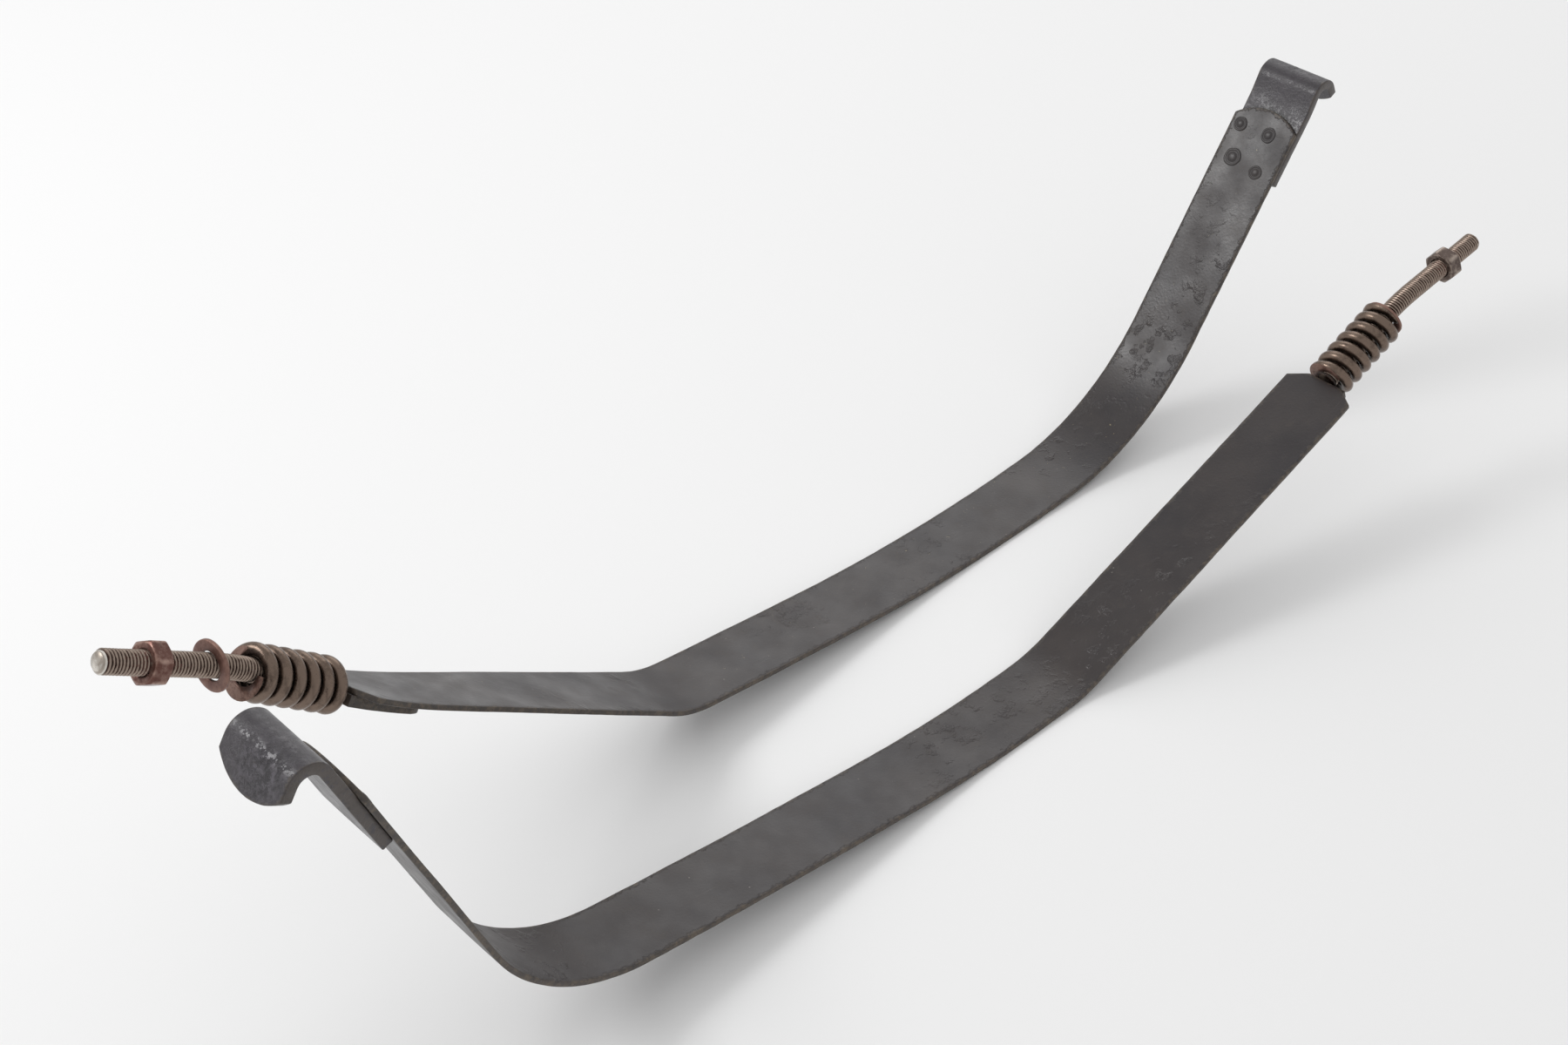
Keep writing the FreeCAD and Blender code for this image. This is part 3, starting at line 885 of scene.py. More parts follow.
BENDS = {
    Lay.FRONT: Bends(
        heading=43.1, rock=-6.6, hook_bend=59.6, hook_bend_radius=78.0, bow_hook=2.4,
        bow_stud=9.4, stud_bend=19.0, stud_bend_radius=49.0, stud_leg=164.0, end_turn=0.8,
        twist=0.0, end_twist=0.0, hook_lean=0.0, stud_out=102.5, stud_root=42.0,
        stud_arc=16.0, stud_turn=13.5, spring_turn=-22.0, washer_at=40.15, washer_tilt=0.0,
        nut_at=81.5, nut_spin=8.0,
    ),
    Lay.REAR: Bends(
        heading=-135.4, rock=6.7, hook_bend=50.8, hook_bend_radius=103.5, bow_hook=10.0,
        bow_stud=1.6, stud_bend=25.0, stud_bend_radius=47.6, stud_leg=156.0, end_turn=7.0,
        twist=-7.4, end_twist=-10.0, hook_lean=-10.0, stud_out=95.6, stud_root=40.0,
        stud_arc=16.0, stud_turn=6.0, spring_turn=183.0, washer_at=53.4, washer_tilt=20.0,
        nut_at=76.2, nut_spin=22.0,
    ),
}


@dataclass(frozen=True)
class Form:
    """Where everything on one strap is, in the row frame.

    Args:
        lay: Which strap.
        hook_leg: Straight hook leg up to the corners of the rounded end.
        end_rise: How far the rounded end bulges.
        floor_hook: Length of the U's bottom on the hook side.
        floor_stud: Length of the U's bottom on the stud side.
        end_run: The last run of the stud leg, which bends a little.
        thick: Thickness of the band.
        plate_lap: How far the hook plate laps the band, from the rounded end's corners.
        plate_rise: How far it stands past them before its curl.
        plate_thick: Thickness of the hook plate.
        lean_length: Length over which it leans off the band.
        hook_radius, hook_turn: Inside radius and turn of the curl.
        hook_tip: Straight run after the curl.
        stud_depth: How far the stud's axis lies below the band's middle.
    """

    lay: Lay
    hook_leg: float = 98 * MM
    end_rise: float = 6 * MM
    floor_hook: float = 130 * MM
    floor_stud: float = 84 * MM
    end_run: float = 40 * MM
    thick: float = 2 * MM
    plate_lap: float = 24.5 * MM
    plate_rise: float = 18.5 * MM
    plate_thick: float = 4 * MM
    lean_length: float = 8 * MM
    hook_radius: float = 4 * MM
    hook_turn: float = math.radians(126)
    hook_tip: float = 10.5 * MM
    stud_depth: float = 0.3 * MM

    @property
    def bends(self) -> Bends:
        """This strap's own bends."""
        return BENDS[self.lay]

    def band_chain(self) -> Chain:
        """The band's middle line, from the tip of its rounded end to its stud end.

        Returns:
            The line.
        """
        b = self.bends
        hook, stud = math.radians(b.hook_bend), math.radians(b.stud_bend)
        hook_side = (
            (self.hook_leg + self.end_rise, 0.0),
            (b.hook_bend_radius * MM * hook, hook),
            (self.floor_hook, math.radians(b.bow_hook)),
        )
        stud_side = (
            (self.floor_stud, math.radians(b.bow_stud)),
            (b.stud_bend_radius * MM * stud, stud),
        )
        leg = (
            (b.stud_leg * MM - self.end_run, 0.0),
            (self.end_run, math.radians(b.end_turn)),
        )
        heading = -sum(turn for _, turn in hook_side)
        x, z, _ = Chain((0.0, 0.0, heading), hook_side).knot(sum(n for n, _ in hook_side))
        segments = hook_side + stud_side + leg
        bend_end = sum(n for n, _ in hook_side + stud_side)
        whole = sum(n for n, _ in segments)
        twists = (
            (bend_end, 0.0),
            (whole - self.end_run, math.radians(b.twist)),
            (whole, math.radians(b.end_twist)),
        )
        return Chain((-x, -z, heading), segments, twists)

    def hook_chain(self) -> Chain:
        """The hook plate's line on the band's middle, from its lap round to its lip.

        Returns:
            The line.
        """
        b = self.bends
        x, z, heading = self.band_chain().start
        foot = stepped(x, z, heading, self.end_rise + self.plate_lap, 0.0)
        middle = self.hook_radius + self.plate_thick + self.thick / 2
        lap = self.plate_lap + self.end_rise + 1 * MM
        straight = self.plate_rise - self.lean_length - self.end_rise - 1 * MM
        segments = (
            (lap, 0.0),
            (self.lean_length, math.radians(b.hook_lean)),
            (straight, 0.0),
            (middle * self.hook_turn, self.hook_turn),
            (self.hook_tip, 0.0),
        )
        return Chain((foot[0], foot[1], heading + math.pi), segments)

    def laid(self) -> tuple[Matrix, Vector]:
        """Lays the strap down where the CAD part's hook mount says.

        Returns:
            A rotation and a shift.
        """
        rock = Matrix.Rotation(math.radians(self.bends.rock), 3, Vector((0, -1, 0)))
        heading = Matrix.Rotation(math.radians(self.bends.heading), 3, Vector((0, 0, 1)))
        turn = heading @ rock
        mounts = {m["name"]: m for m in frame["record"]["mounts"]}
        target = Vector(mounts[f"{self.lay.value}_hook"]["pos_m"])
        chain = self.hook_chain()
        curl = chain.place(sum(n for n, _ in chain.segments[:3]))
        middle = self.hook_radius + self.plate_thick + self.thick / 2
        return turn, target - turn @ curl.shifted(inward=middle).at

    def carrier(self, chain: Chain) -> Callable[[float], Place]:
        """Function that gives the place on a chain in the row frame."""
        turn, offset = self.laid()
        return lambda distance: chain.place(distance).turned(turn, offset)

    def root(self) -> Place:
        """Place on the stud's axis level with the end of the band."""
        chain = self.band_chain()
        return self.carrier(chain)(chain.length).shifted(inward=-self.stud_depth)

    def stud_chain(self) -> Chain:
        """The stud's axis from the root place on, seen from the band's side.

        Returns:
            The line.
        """
        b = self.bends
        rest = (b.stud_out - b.stud_root - b.stud_arc) * MM
        segments = (
            (b.stud_root * MM, 0.0),
            (b.stud_arc * MM, -math.radians(b.stud_turn)),
            (rest, 0.0),
        )
        return Chain((0.0, 0.0, 0.0), segments)

    def on_stud(self, distance: float) -> Place:
        """Place on the stud's axis at a distance from the band's end."""
        root = self.root()
        return self.stud_chain().place(distance).turned(root.rotation(), root.at)

    def outer(self, distance: float) -> Place:
        """Finds a place on the straight outer part of the stud, run back to the band's end.

        Args:
            distance: How far from the band's end.

        Returns:
            The place.
        """
        b = self.bends
        corner = (b.stud_root + b.stud_arc) * MM
        return self.on_stud(corner).shifted(along=distance - corner)


def lowered(place: Place, distance: float) -> Place:
    """Moves a place down, square to its direction, as a loose part hangs.

    Args:
        place: The place.
        distance: How far.

    Returns:
        The new place.
    """
    down = Vector((0, 0, -1))
    flat = down - place.along * place.along.dot(down)
    return Place(place.at + flat.normalized() * distance, place.along, place.across, place.inward)


# ---------------------------------------------------------------- flat bars


@dataclass
class FlatBar:
    """A flat bar modelled straight and then bent.

    Args:
        form: The strap it is part of.
        chain: Its side view.
        width: Width across.
        low, high: Its faces, measured inwards from the chain.
        shift: How far it sits to one side.
        pitch: Size of the mesh's cells.
        start_back, end_back: How far each end falls back at a distance from its middle.
        corner: Radius of its rounded rims.
        waviness, wave_length: Depth and length of the hand-bent unevenness.
        rag_depth, rag_length: Depth and length of the unevenness of its rims.
        rim_reach: How far from a rim its wear reaches.
        seed: Where its noise starts.
        blend: Over what length an end's shape fades out.
        extra: Further depth at a point of the flat bar.
    """

    form: Form
    chain: Chain
    width: float
    low: float
    high: float
    shift: float = 0.0
    pitch: float = 1.2 * MM
    start_back: Callable[[float], float] = field(default=lambda w: 0.0)
    end_back: Callable[[float], float] = field(default=lambda w: 0.0)
    corner: float = 0.35 * MM
    waviness: float = 0.1 * MM
    wave_length: float = 22 * MM
    rag_depth: float = 0.12 * MM
    rag_length: float = 5 * MM
    rim_reach: float = 3 * MM
    seed: float = 0.0
    blend: float = 22 * MM
    extra: Callable[[float, float, float], float] = field(default=lambda s, w, t: 0.0)

    def flat(self) -> bmesh.types.BMesh:
        """The bar before bending, its length on X, its width on Y and its thickness on Z.

        Returns:
            The mesh.
        """
        length, width = self.chain.length, self.width
        bm = bmesh.new()
        bmesh.ops.create_grid(
            bm, x_segments=round(length / self.pitch), y_segments=round(width / self.pitch),
            size=0.5,
        )
        for v in bm.verts:
            s, w = (v.co.x + 0.5) * length, v.co.y * width
            s += self.start_back(w) * max(0.0, 1 - s / self.blend)
            s -= self.end_back(w) * max(0.0, 1 - (length - s) / self.blend)
            v.co = Vector((s, w, 0.0))
        bmesh.ops.solidify(bm, geom=bm.faces[:], thickness=self.high - self.low)
        bottom = min(v.co.z for v in bm.verts)
        bmesh.ops.translate(bm, verts=bm.verts, vec=(0, 0, self.low - bottom))
        bmesh.ops.recalc_face_normals(bm, faces=bm.faces)
        rim_bevel(bm, self.corner, 2)
        return bm

    def rim(self, s: float, w: float) -> float:
        """Says how near a rim a point of the flat bar is.

        Args:
            s, w: How far along and across it is.

        Returns:
            1 on a rim, falling to 0 where its wear ends.
        """
        side = self.width / 2 - abs(w)
        first = s - self.start_back(w)
        last = self.chain.length - self.end_back(w) - s
        return 1 - min(max(min(side, first, last), 0.0) / self.rim_reach, 1.0)

    def bent(self) -> bmesh.types.BMesh:
        """The finished bar in the row frame.

        Returns:
            The mesh.
        """
        bm = self.flat()
        layer = flat_layer(bm)
        carry = self.form.carrier(self.chain)
        places: dict[float, Place] = {}
        for v in bm.verts:
            s, w, t = v.co
            v[layer] = Vector((s, w, self.rim(s, w)))
            spot = Vector((s, w, self.seed))
            wave = self.waviness * grain(spot, self.wave_length, self.seed)
            rag = self.rag_depth * grain(spot, self.rag_length, self.seed + 4) * self.rim(s, w)
            key = round(s, 5)
            if key not in places:
                places[key] = carry(key)
            place = places[key]
            t += wave + self.extra(s, w, t)
            w += rag * (-1 if w > 0 else 1) + self.shift
            v.co = place.at + place.along * (s - key) - place.across * w + place.inward * t
        bmesh.ops.recalc_face_normals(bm, faces=bm.faces)
        return bm


@dataclass
class Strap:
    """The fixed steel of one strap: band, hook plate, spot welds, anchor plate and weld bead.

    Args:
        form, finishes: Its form and its materials.
        width, plate_width, plate_shift: Widths of band and hook plate, and the plate's offset.
        lip_rise, foot_rise: How far the hook plate's two ends bulge.
        stud_end_clip: Length and width of the band's clipped corners.
        crease_depth, crease_back, crease_slant, crease_width: The crease of the rear stud leg.
        lip_back, lip_side, lip_patch: Middle and half sizes of the pitted patch on the lip.
        pit_depth, pit_sizes: Depth and sizes of the pits.
        seam_width: Width of the seam's paint gap and painted contact shadow at the band's end.
        anchor_width, anchor_thick, anchor_length, anchor_proud: The anchor plate.
        spots: Each spot weld's place across and down from the band's end, in millimetres, and
            its size against the outline.
        spot_outline, spot_steps: Half-section of a spot weld (height, radius), in millimetres.
        bead_outline, bead_steps: Half-section of the weld bead (along, radius), in millimetres.
        bead_inside: Radius within which the bead is smooth.
    """

    form: Form
    finishes: Finishes
    width: float = 31.5 * MM
    plate_width: float = 30 * MM
    plate_shift: float = 0.75 * MM
    lip_rise: float = 6 * MM
    foot_rise: float = 1.5 * MM
    stud_end_clip: tuple[float, float] = (5 * MM, 8 * MM)
    crease_depth: float = 0.8 * MM
    crease_back: float = 50 * MM
    crease_slant: float = 1.6
    crease_width: float = 8 * MM
    lip_back: float = 9 * MM
    lip_side: float = 3 * MM
    lip_patch: tuple[float, float] = (8 * MM, 10 * MM)
    pit_depth: float = 0.22 * MM
    pit_sizes: tuple[float, float] = (2.4 * MM, 1.3 * MM)
    seam_width: float = 0.9 * MM
    anchor_width: float = 18 * MM
    anchor_thick: float = 4 * MM
    anchor_length: float = 36 * MM
    anchor_proud: float = 1 * MM
    spots: tuple[tuple[float, float, float], ...] = (
        (10.8, 4.2, 0.95), (-4.2, 4.2, 1.0), (7.1, 18.6, 1.18), (-6.4, 21.0, 0.9),
    )
    spot_outline: tuple[tuple[float, float], ...] = (
        (-0.1, 0.0), (-0.1, 3.5), (0.05, 3.45), (0.34, 3.1), (0.36, 2.8),
        (0.10, 2.35), (0.08, 2.1), (0.36, 1.6), (0.55, 1.0), (0.6, 0.0),
    )
    spot_steps: int = 40
    bead_outline: tuple[tuple[float, float], ...] = (
        (1.0, 3.95), (1.0, 4.55), (1.2, 4.6), (1.5, 4.4), (1.8, 4.2), (2.0, 4.05), (2.0, 3.95),
    )
    bead_steps: int = 72
    bead_inside: float = 4.1 * MM

    @property
    def lay(self) -> Lay:
        """Which strap this is."""
        return self.form.lay

    @property
    def band_length(self) -> float:
        """Length of the band along its middle line."""
        return self.form.band_chain().length

    def crease(self, s: float, w: float, t: float) -> float:
        """The slight diagonal crease where the rear stud leg was bent by force.

        Args:
            s, w, t: How far along, across and inwards a point of the flat band is.

        Returns:
            How far the crease carries it inwards.
        """
        if self.lay is Lay.FRONT:
            return 0.0
        middle = self.band_length - self.crease_back + w * self.crease_slant
        inner = 1 - (2 * w / self.width) ** 2
        near = math.exp(-(((s - middle) / self.crease_width) ** 2))
        return self.crease_depth * max(0.0, inner) * near

    def band(self) -> bpy.types.Object:
        """The band with its rounded hook end and clipped stud end.

        Returns:
            The piece.
        """
        form = self.form
        bar = FlatBar(
            form, form.band_chain(), self.width, -form.thick / 2, form.thick / 2,
            start_back=rounded_end(self.width, form.end_rise),
            end_back=clipped_end(self.width, *self.stud_end_clip),
            waviness=0.16 * MM, seed=1.0 if self.lay is Lay.FRONT else 2.0, extra=self.crease,
        )
        paint = self.finishes.band if self.lay is Lay.FRONT else self.finishes.rear_band
        return piece(bar.bent(), self.lay, Part.BAND, [paint])

    def hook(self) -> bpy.types.Object:
        """The hook plate: lap, curl and rounded lip, pitted on the lip.

        Returns:
            The piece.
        """
        form = self.form
        chain = form.hook_chain()
        low = form.thick / 2
        bar = FlatBar(
            form, chain, self.plate_width, low, low + form.plate_thick,
            shift=self.plate_shift, pitch=0.7 * MM,
            start_back=rounded_end(self.plate_width, self.foot_rise),
            end_back=rounded_end(self.plate_width, self.lip_rise),
            corner=0.5 * MM, waviness=0.0, seed=3.0,
        )
        bm = bar.bent()
        flat = bm.verts.layers.float_vector["flat"]
        pits = bm.verts.layers.float.new("pits")
        seam_gap_and_shadow = bm.verts.layers.float.new("seam_gap_and_shadow")
        lip = chain.length - self.lip_back
        long, wide = self.lip_patch
        coarse, fine = self.pit_sizes
        seam = form.plate_lap + form.end_rise
        fall = rounded_end(self.width, form.end_rise)
        for v in bm.verts:
            s, w, _ = v[flat]
            patch = math.exp(-(((s - lip) / long) ** 2) - ((w + self.lip_side) / wide) ** 2)
            v[pits] = min(1.0, patch * 1.3 + 0.15)
            # The seam where the band's end sits on the plate: a paint gap with painted contact
            # shadow.
            v[seam_gap_and_shadow] = math.exp(-(((s - seam + fall(w)) / self.seam_width) ** 2))
            pit = max(0.0, grain(v.co, coarse, 5.0)) + 0.5 * max(0.0, grain(v.co, fine, 7.0))
            v.co -= v.normal * self.pit_depth * patch * pit
        return piece(bm, self.lay, Part.HOOK, [self.finishes.hook])

    def spot_welds(self) -> bpy.types.Object:
        """The raised spots over the hook plate: a low ring with a dome in it.

        Returns:
            The piece.
        """
        form = self.form
        carry = form.carrier(form.band_chain())
        whole = bmesh.new()
        for across, down, size in self.spots:
            outline = [(x * MM, r * size * MM) for x, r in self.spot_outline]
            spot = revolved(outline, self.spot_steps)
            for v in spot.verts:
                v.co *= 1 + 0.09 * grain(v.co, 2.5 * MM, across)
            bmesh.ops.rotate(
                spot, verts=spot.verts, cent=(0, 0, 0),
                matrix=Matrix.Rotation(-math.pi / 2, 3, "Y"),
            )
            place = carry(form.end_rise + down * MM).reversed()
            seat = place.shifted(across=-across * MM, inward=form.thick / 2)
            bmesh.ops.transform(spot, matrix=seat.matrix(), verts=spot.verts)
            mesh = bpy.data.meshes.new("spot")
            spot.to_mesh(mesh)
            spot.free()
            whole.from_mesh(mesh)
            bpy.data.meshes.remove(mesh)
        bmesh.ops.recalc_face_normals(whole, faces=whole.faces)
        return piece(whole, self.lay, Part.SPOTS, [self.finishes.band])

    def anchor(self) -> bpy.types.Object:
        """The plate under the stud end.

        Returns:
            The piece.
        """
        form = self.form
        chain = form.band_chain()
        start = chain.length - self.anchor_length
        knot = chain.knot(start)
        share = self.anchor_length / form.end_run
        turn = math.radians(form.bends.end_turn) * share
        segments = ((self.anchor_length, turn), (self.anchor_proud, 0.0))
        twists = ((0.0, chain.twist(start)), (self.anchor_length, chain.twist(chain.length)))
        high = -form.thick / 2
        bar = FlatBar(
            form, Chain(knot, segments, twists), self.anchor_width, high - self.anchor_thick,
            high - 0.02 * MM, pitch=0.9 * MM, corner=0.6 * MM, waviness=0.05 * MM, seed=6.0,
            start_back=rounded_end(self.anchor_width + 0.1 * MM, self.anchor_width / 2),
            blend=12 * MM,
        )
        return piece(bar.bent(), self.lay, Part.ANCHOR, [self.finishes.band])

    def weld(self) -> bpy.types.Object:
        """The lumpy bead round the stud's root.

        Returns:
            The piece.
        """
        bm = revolved([(x * MM, r * MM) for x, r in self.bead_outline], self.bead_steps)
        for v in bm.verts:
            radial = Vector((0, v.co.y, v.co.z))
            if radial.length > self.bead_inside:
                v.co += radial.normalized() * 0.06 * MM * grain(v.co, 1.4 * MM, 8.0)
        bmesh.ops.transform(bm, matrix=self.form.root().matrix(), verts=bm.verts)
        dress_layers(bm, lambda v: 0.3, lambda v: 0.4)
        return piece(bm, self.lay, Part.WELD, [self.finishes.weld])

    def build(self) -> list[bpy.types.Object]:
        """Makes all five pieces and gives them back."""
        return [self.band(), self.hook(), self.spot_welds(), self.anchor(), self.weld()]


def dress_layers(
    bm: bmesh.types.BMesh,
    rub_and_shade: Callable[[bmesh.types.BMVert], float],
    rust: Callable[[bmesh.types.BMVert], float],
) -> None:
    """Gives every vertex its "rub" and "rust" values for the bare steel finishes.

    Args:
        bm: The mesh.
        rub_and_shade: How much a vertex is rubbed bright; on the spring it also lays painted
            shade, low on the inner side of the coil.
        rust: How much it is rusted.
    """
    rub_and_shade_layer = bm.verts.layers.float.new("rub_and_shade")
    rust_layer = bm.verts.layers.float.new("rust")
    for v in bm.verts:
        v[rub_and_shade_layer] = rub_and_shade(v)
        v[rust_layer] = rust(v)


# ---------------------------------------------------------------- stud and loose parts


@dataclass
class Stud:
    """The M8 stud with its real rolled thread, bent as the CAD one is.

    Args:
        form, finishes: Its strap's form and the materials.
        crest, root, pitch: Radii and pitch of the thread.
        bevel: Length of the bevel on its free end.
        start: Where it starts, past the end of the band.
        wear_depth, wear_size: Depth and size of the wear on the crests.
        nut_reach: How far the rust round the nut spreads.
        steps: How many faces the thread has in a turn.
    """

    form: Form
    finishes: Finishes
    crest: float = 4 * MM
    root: float = 3.25 * MM
    pitch: float = 1.25 * MM
    bevel: float = 1.2 * MM
    start: float = 1 * MM
    wear_depth: float = 0.05 * MM
    wear_size: float = 3 * MM
    nut_reach: float = 9 * MM
    steps: int = 56

    def profile(self) -> list[tuple[float, float]]:
        """The thread's outline, a little longer than the stud at both ends.

        Returns:
            Points (along, radius).
        """
        turns = math.ceil(self.form.bends.stud_out * MM / self.pitch) + 3
        fillet = self.root + 0.1 * MM
        one = ((0.0, self.crest), (0.16, self.crest), (0.50, fillet),
               (0.60, self.root), (0.76, self.root), (0.86, fillet))
        begin = -2 * self.pitch
        return [
            (begin + k * self.pitch + x * MM, r) for k in range(turns) for x, r in one
        ]

    def threaded(self) -> bmesh.types.BMesh:
        """The thread on a straight axis along X.

        Returns:
            The mesh, open at both ends.
        """
        bm = bmesh.new()
        corners = [bm.verts.new((x, 0.0, r)) for x, r in self.profile()]
        for first, last in zip(corners, corners[1:]):
            bm.edges.new((first, last))
        bmesh.ops.spin(
            bm, geom=[*bm.verts, *bm.edges], cent=(0, 0, 0), axis=(1, 0, 0),
            dvec=(self.pitch / self.steps, 0, 0), angle=math.tau, steps=self.steps,
            use_merge=False, use_normal_flip=False, use_duplicate=False,
        )
        bmesh.ops.remove_doubles(bm, verts=bm.verts, dist=2e-6)
        return bm

    def build(self) -> bpy.types.Object:
        """Makes the stud.

        Returns:
            The piece.
        """
        b = self.form.bends
        bm = self.threaded()
        out = b.stud_out * MM
        cut_at(bm, Vector((self.start, 0, 0)), Vector((-1, 0, 0)))
        cut_at(bm, Vector((out, 0, 0)), Vector((1, 0, 0)))
        bmesh.ops.recalc_face_normals(bm, faces=bm.faces)
        span = self.crest - self.root
        rub_and_shade = bm.verts.layers.float.new("rub_and_shade")
        rust = bm.verts.layers.float.new("rust")
        nut = b.nut_at * MM
        for v in bm.verts:
            x = v.co.x
            radial = Vector((0, v.co.y, v.co.z))
            r = radial.length
            height = (r - self.root) / span
            near_nut = math.exp(-(((x - nut) / self.nut_reach) ** 2))
            v[rub_and_shade] = 1.25 * height - 0.1
            v[rust] = 0.5 * (1 - height) + 0.5 * near_nut
            limit = self.crest - max(0.0, x - (out - self.bevel))
            wear = max(0.0, grain(v.co, self.wear_size, 9.0)) * height
            worn = r - self.wear_depth * wear
            if r > 0:
                v.co = Vector((x, 0, 0)) + radial * (min(worn, limit) / r)
        for face in bm.faces:
            middle = face.calc_center_median()
            face.material_index = 1 if middle.x > out - self.bevel * 0.98 else 0
        chain = self.form.stud_chain()
        root = self.form.root()
        for v in bm.verts:
            place = chain.place(v.co.x).turned(root.rotation(), root.at)
            v.co = place.at - place.across * v.co.y + place.inward * v.co.z
        bmesh.ops.recalc_face_normals(bm, faces=bm.faces)
        steel = [self.finishes.thread, self.finishes.tip]
        return piece(bm, self.form.lay, Part.STUD, steel)


@dataclass
class Spring:
    """The compression spring: round wire wound right-handed, both ends ground flat.

    Args:
        form, finishes: Its strap's form and the materials.
        outside, wire: Diameters of the coil and of the wire.
        length, turns: Its length, and the turns in it.
        tip: Height of the blunt tip left where an end is ground.
        start: Where it starts, past the end of the band.
        sag: How far its axis hangs below the stud's.
        steps, wire_steps: How many faces it has in a turn and round the wire.
        rust_reach: How far the rust of the ends spreads.
    """

    form: Form
    finishes: Finishes
    outside: float = 19 * MM
    wire: float = 4.8 * MM
    length: float = 37.2 * MM
    turns: float = 6.1
    tip: float = 0.4 * MM
    start: float = 2.1 * MM
    sag: float = 0.65 * MM
    steps: int = 48
    wire_steps: int = 24
    rust_reach: float = 6 * MM

    def build(self) -> bpy.types.Object:
        """Makes the spring.

        Returns:
            The piece.
        """
        pitch = self.length / self.turns
        mean = (self.outside - self.wire) / 2
        over = self.wire / 2 - self.tip
        bm = bmesh.new()
        ring = bmesh.ops.create_circle(
            bm, segments=self.wire_steps, radius=self.wire / 2
        )["verts"]
        bmesh.ops.rotate(
            bm, verts=ring, cent=(0, 0, 0), matrix=Matrix.Rotation(math.pi / 2, 3, "X")
        )
        bmesh.ops.translate(bm, verts=ring, vec=(-over, 0, -mean))
        turns = (self.length + 2 * over) / pitch
        bmesh.ops.spin(
            bm, geom=[*bm.verts, *bm.edges], cent=(0, 0, 0), axis=(1, 0, 0),
            dvec=(pitch / self.steps, 0, 0), angle=math.tau * turns,
            steps=round(self.steps * turns), use_merge=False, use_normal_flip=False,
            use_duplicate=False,
        )
        closed(bm)
        flats = [
            *cut_at(bm, Vector((0, 0, 0)), Vector((-1, 0, 0))),
            *cut_at(bm, Vector((self.length, 0, 0)), Vector((1, 0, 0))),
        ]
        for face in flats:
            face.material_index = 1
        bmesh.ops.recalc_face_normals(bm, faces=bm.faces)

        def rub_and_shade(v: bmesh.types.BMVert) -> float:
            """Painted shade: darker skin on the inner side of the coil, towards the stud;
            brighter steel on the outside.
            """
            r = math.hypot(v.co.y, v.co.z)
            return smooth(mean - self.wire / 2, mean + self.wire / 2, r) * 0.85

        def rust(v: bmesh.types.BMVert) -> float:
            """Heavier at both ends."""
            end = min(v.co.x, self.length - v.co.x)
            return 0.1 + 0.35 * (1 - smooth(0, self.rust_reach, end))

        dress_layers(bm, rub_and_shade, rust)
        place = lowered(self.form.root().shifted(along=self.start), self.sag)
        turn = Matrix.Rotation(math.radians(self.form.bends.spring_turn), 4, "X")
        bmesh.ops.transform(bm, matrix=place.matrix() @ turn, verts=bm.verts)
        steel = [self.finishes.spring, self.finishes.ground]
        return piece(bm, self.form.lay, Part.SPRING, steel)


@dataclass
class Washer:
    """A stamped washer with a rolled edge on one face and a crisp one on the other.

    Args:
        form, finishes: Its strap's form and the materials.
        outside, hole, thick: Its diameters and thickness.
        sag: How far its middle hangs below the stud's axis.
        soft, crisp: Sizes of the edges on the two faces.
        dent: Depth of its unevenness.
        steps: How many faces it has round its axis.
    """

    form: Form
    finishes: Finishes
    outside: float = 17 * MM
    hole: float = 9.6 * MM
    thick: float = 1.3 * MM
    sag: float = 0.15 * MM
    soft: float = 0.45 * MM
    crisp: float = 0.15 * MM
    dent: float = 0.04 * MM
    steps: int = 96

    def build(self) -> bpy.types.Object:
        """Makes the washer.

        Returns:
            The piece.
        """
        b = self.form.bends
        outer, inner, half = self.outside / 2, self.hole / 2, self.thick / 2
        soft, crisp = self.soft, self.crisp
        outline = [
            (-half, inner + crisp), (-half + crisp, inner), (half - soft, inner),
            (half - soft * 0.3, inner + soft * 0.3), (half, inner + soft), (half, outer - soft),
            (half - soft * 0.3, outer - soft * 0.3), (half - soft, outer),
            (-half + crisp, outer), (-half, outer - crisp), (-half, (outer + inner) / 2),
        ]
        bm = revolved(outline, self.steps)
        for v in bm.verts:
            v.co.x += self.dent * grain(v.co, 5 * MM, 11.0)
        dress_layers(
            bm,
            lambda v: 0.3 + 0.5 * smooth(outer - 1 * MM, outer, math.hypot(v.co.y, v.co.z)),
            lambda v: 0.35,
        )
        if b.washer_at < b.stud_root:
            place = self.form.on_stud(0.0).shifted(along=b.washer_at * MM)
        else:
            place = self.form.outer(b.washer_at * MM)
        tilt = Matrix.Rotation(math.radians(b.washer_tilt), 4, "Y")
        matrix = lowered(place, self.sag).matrix() @ tilt
        bmesh.ops.transform(bm, matrix=matrix, verts=bm.verts)
        return piece(bm, self.form.lay, Part.WASHER, [self.finishes.washer])


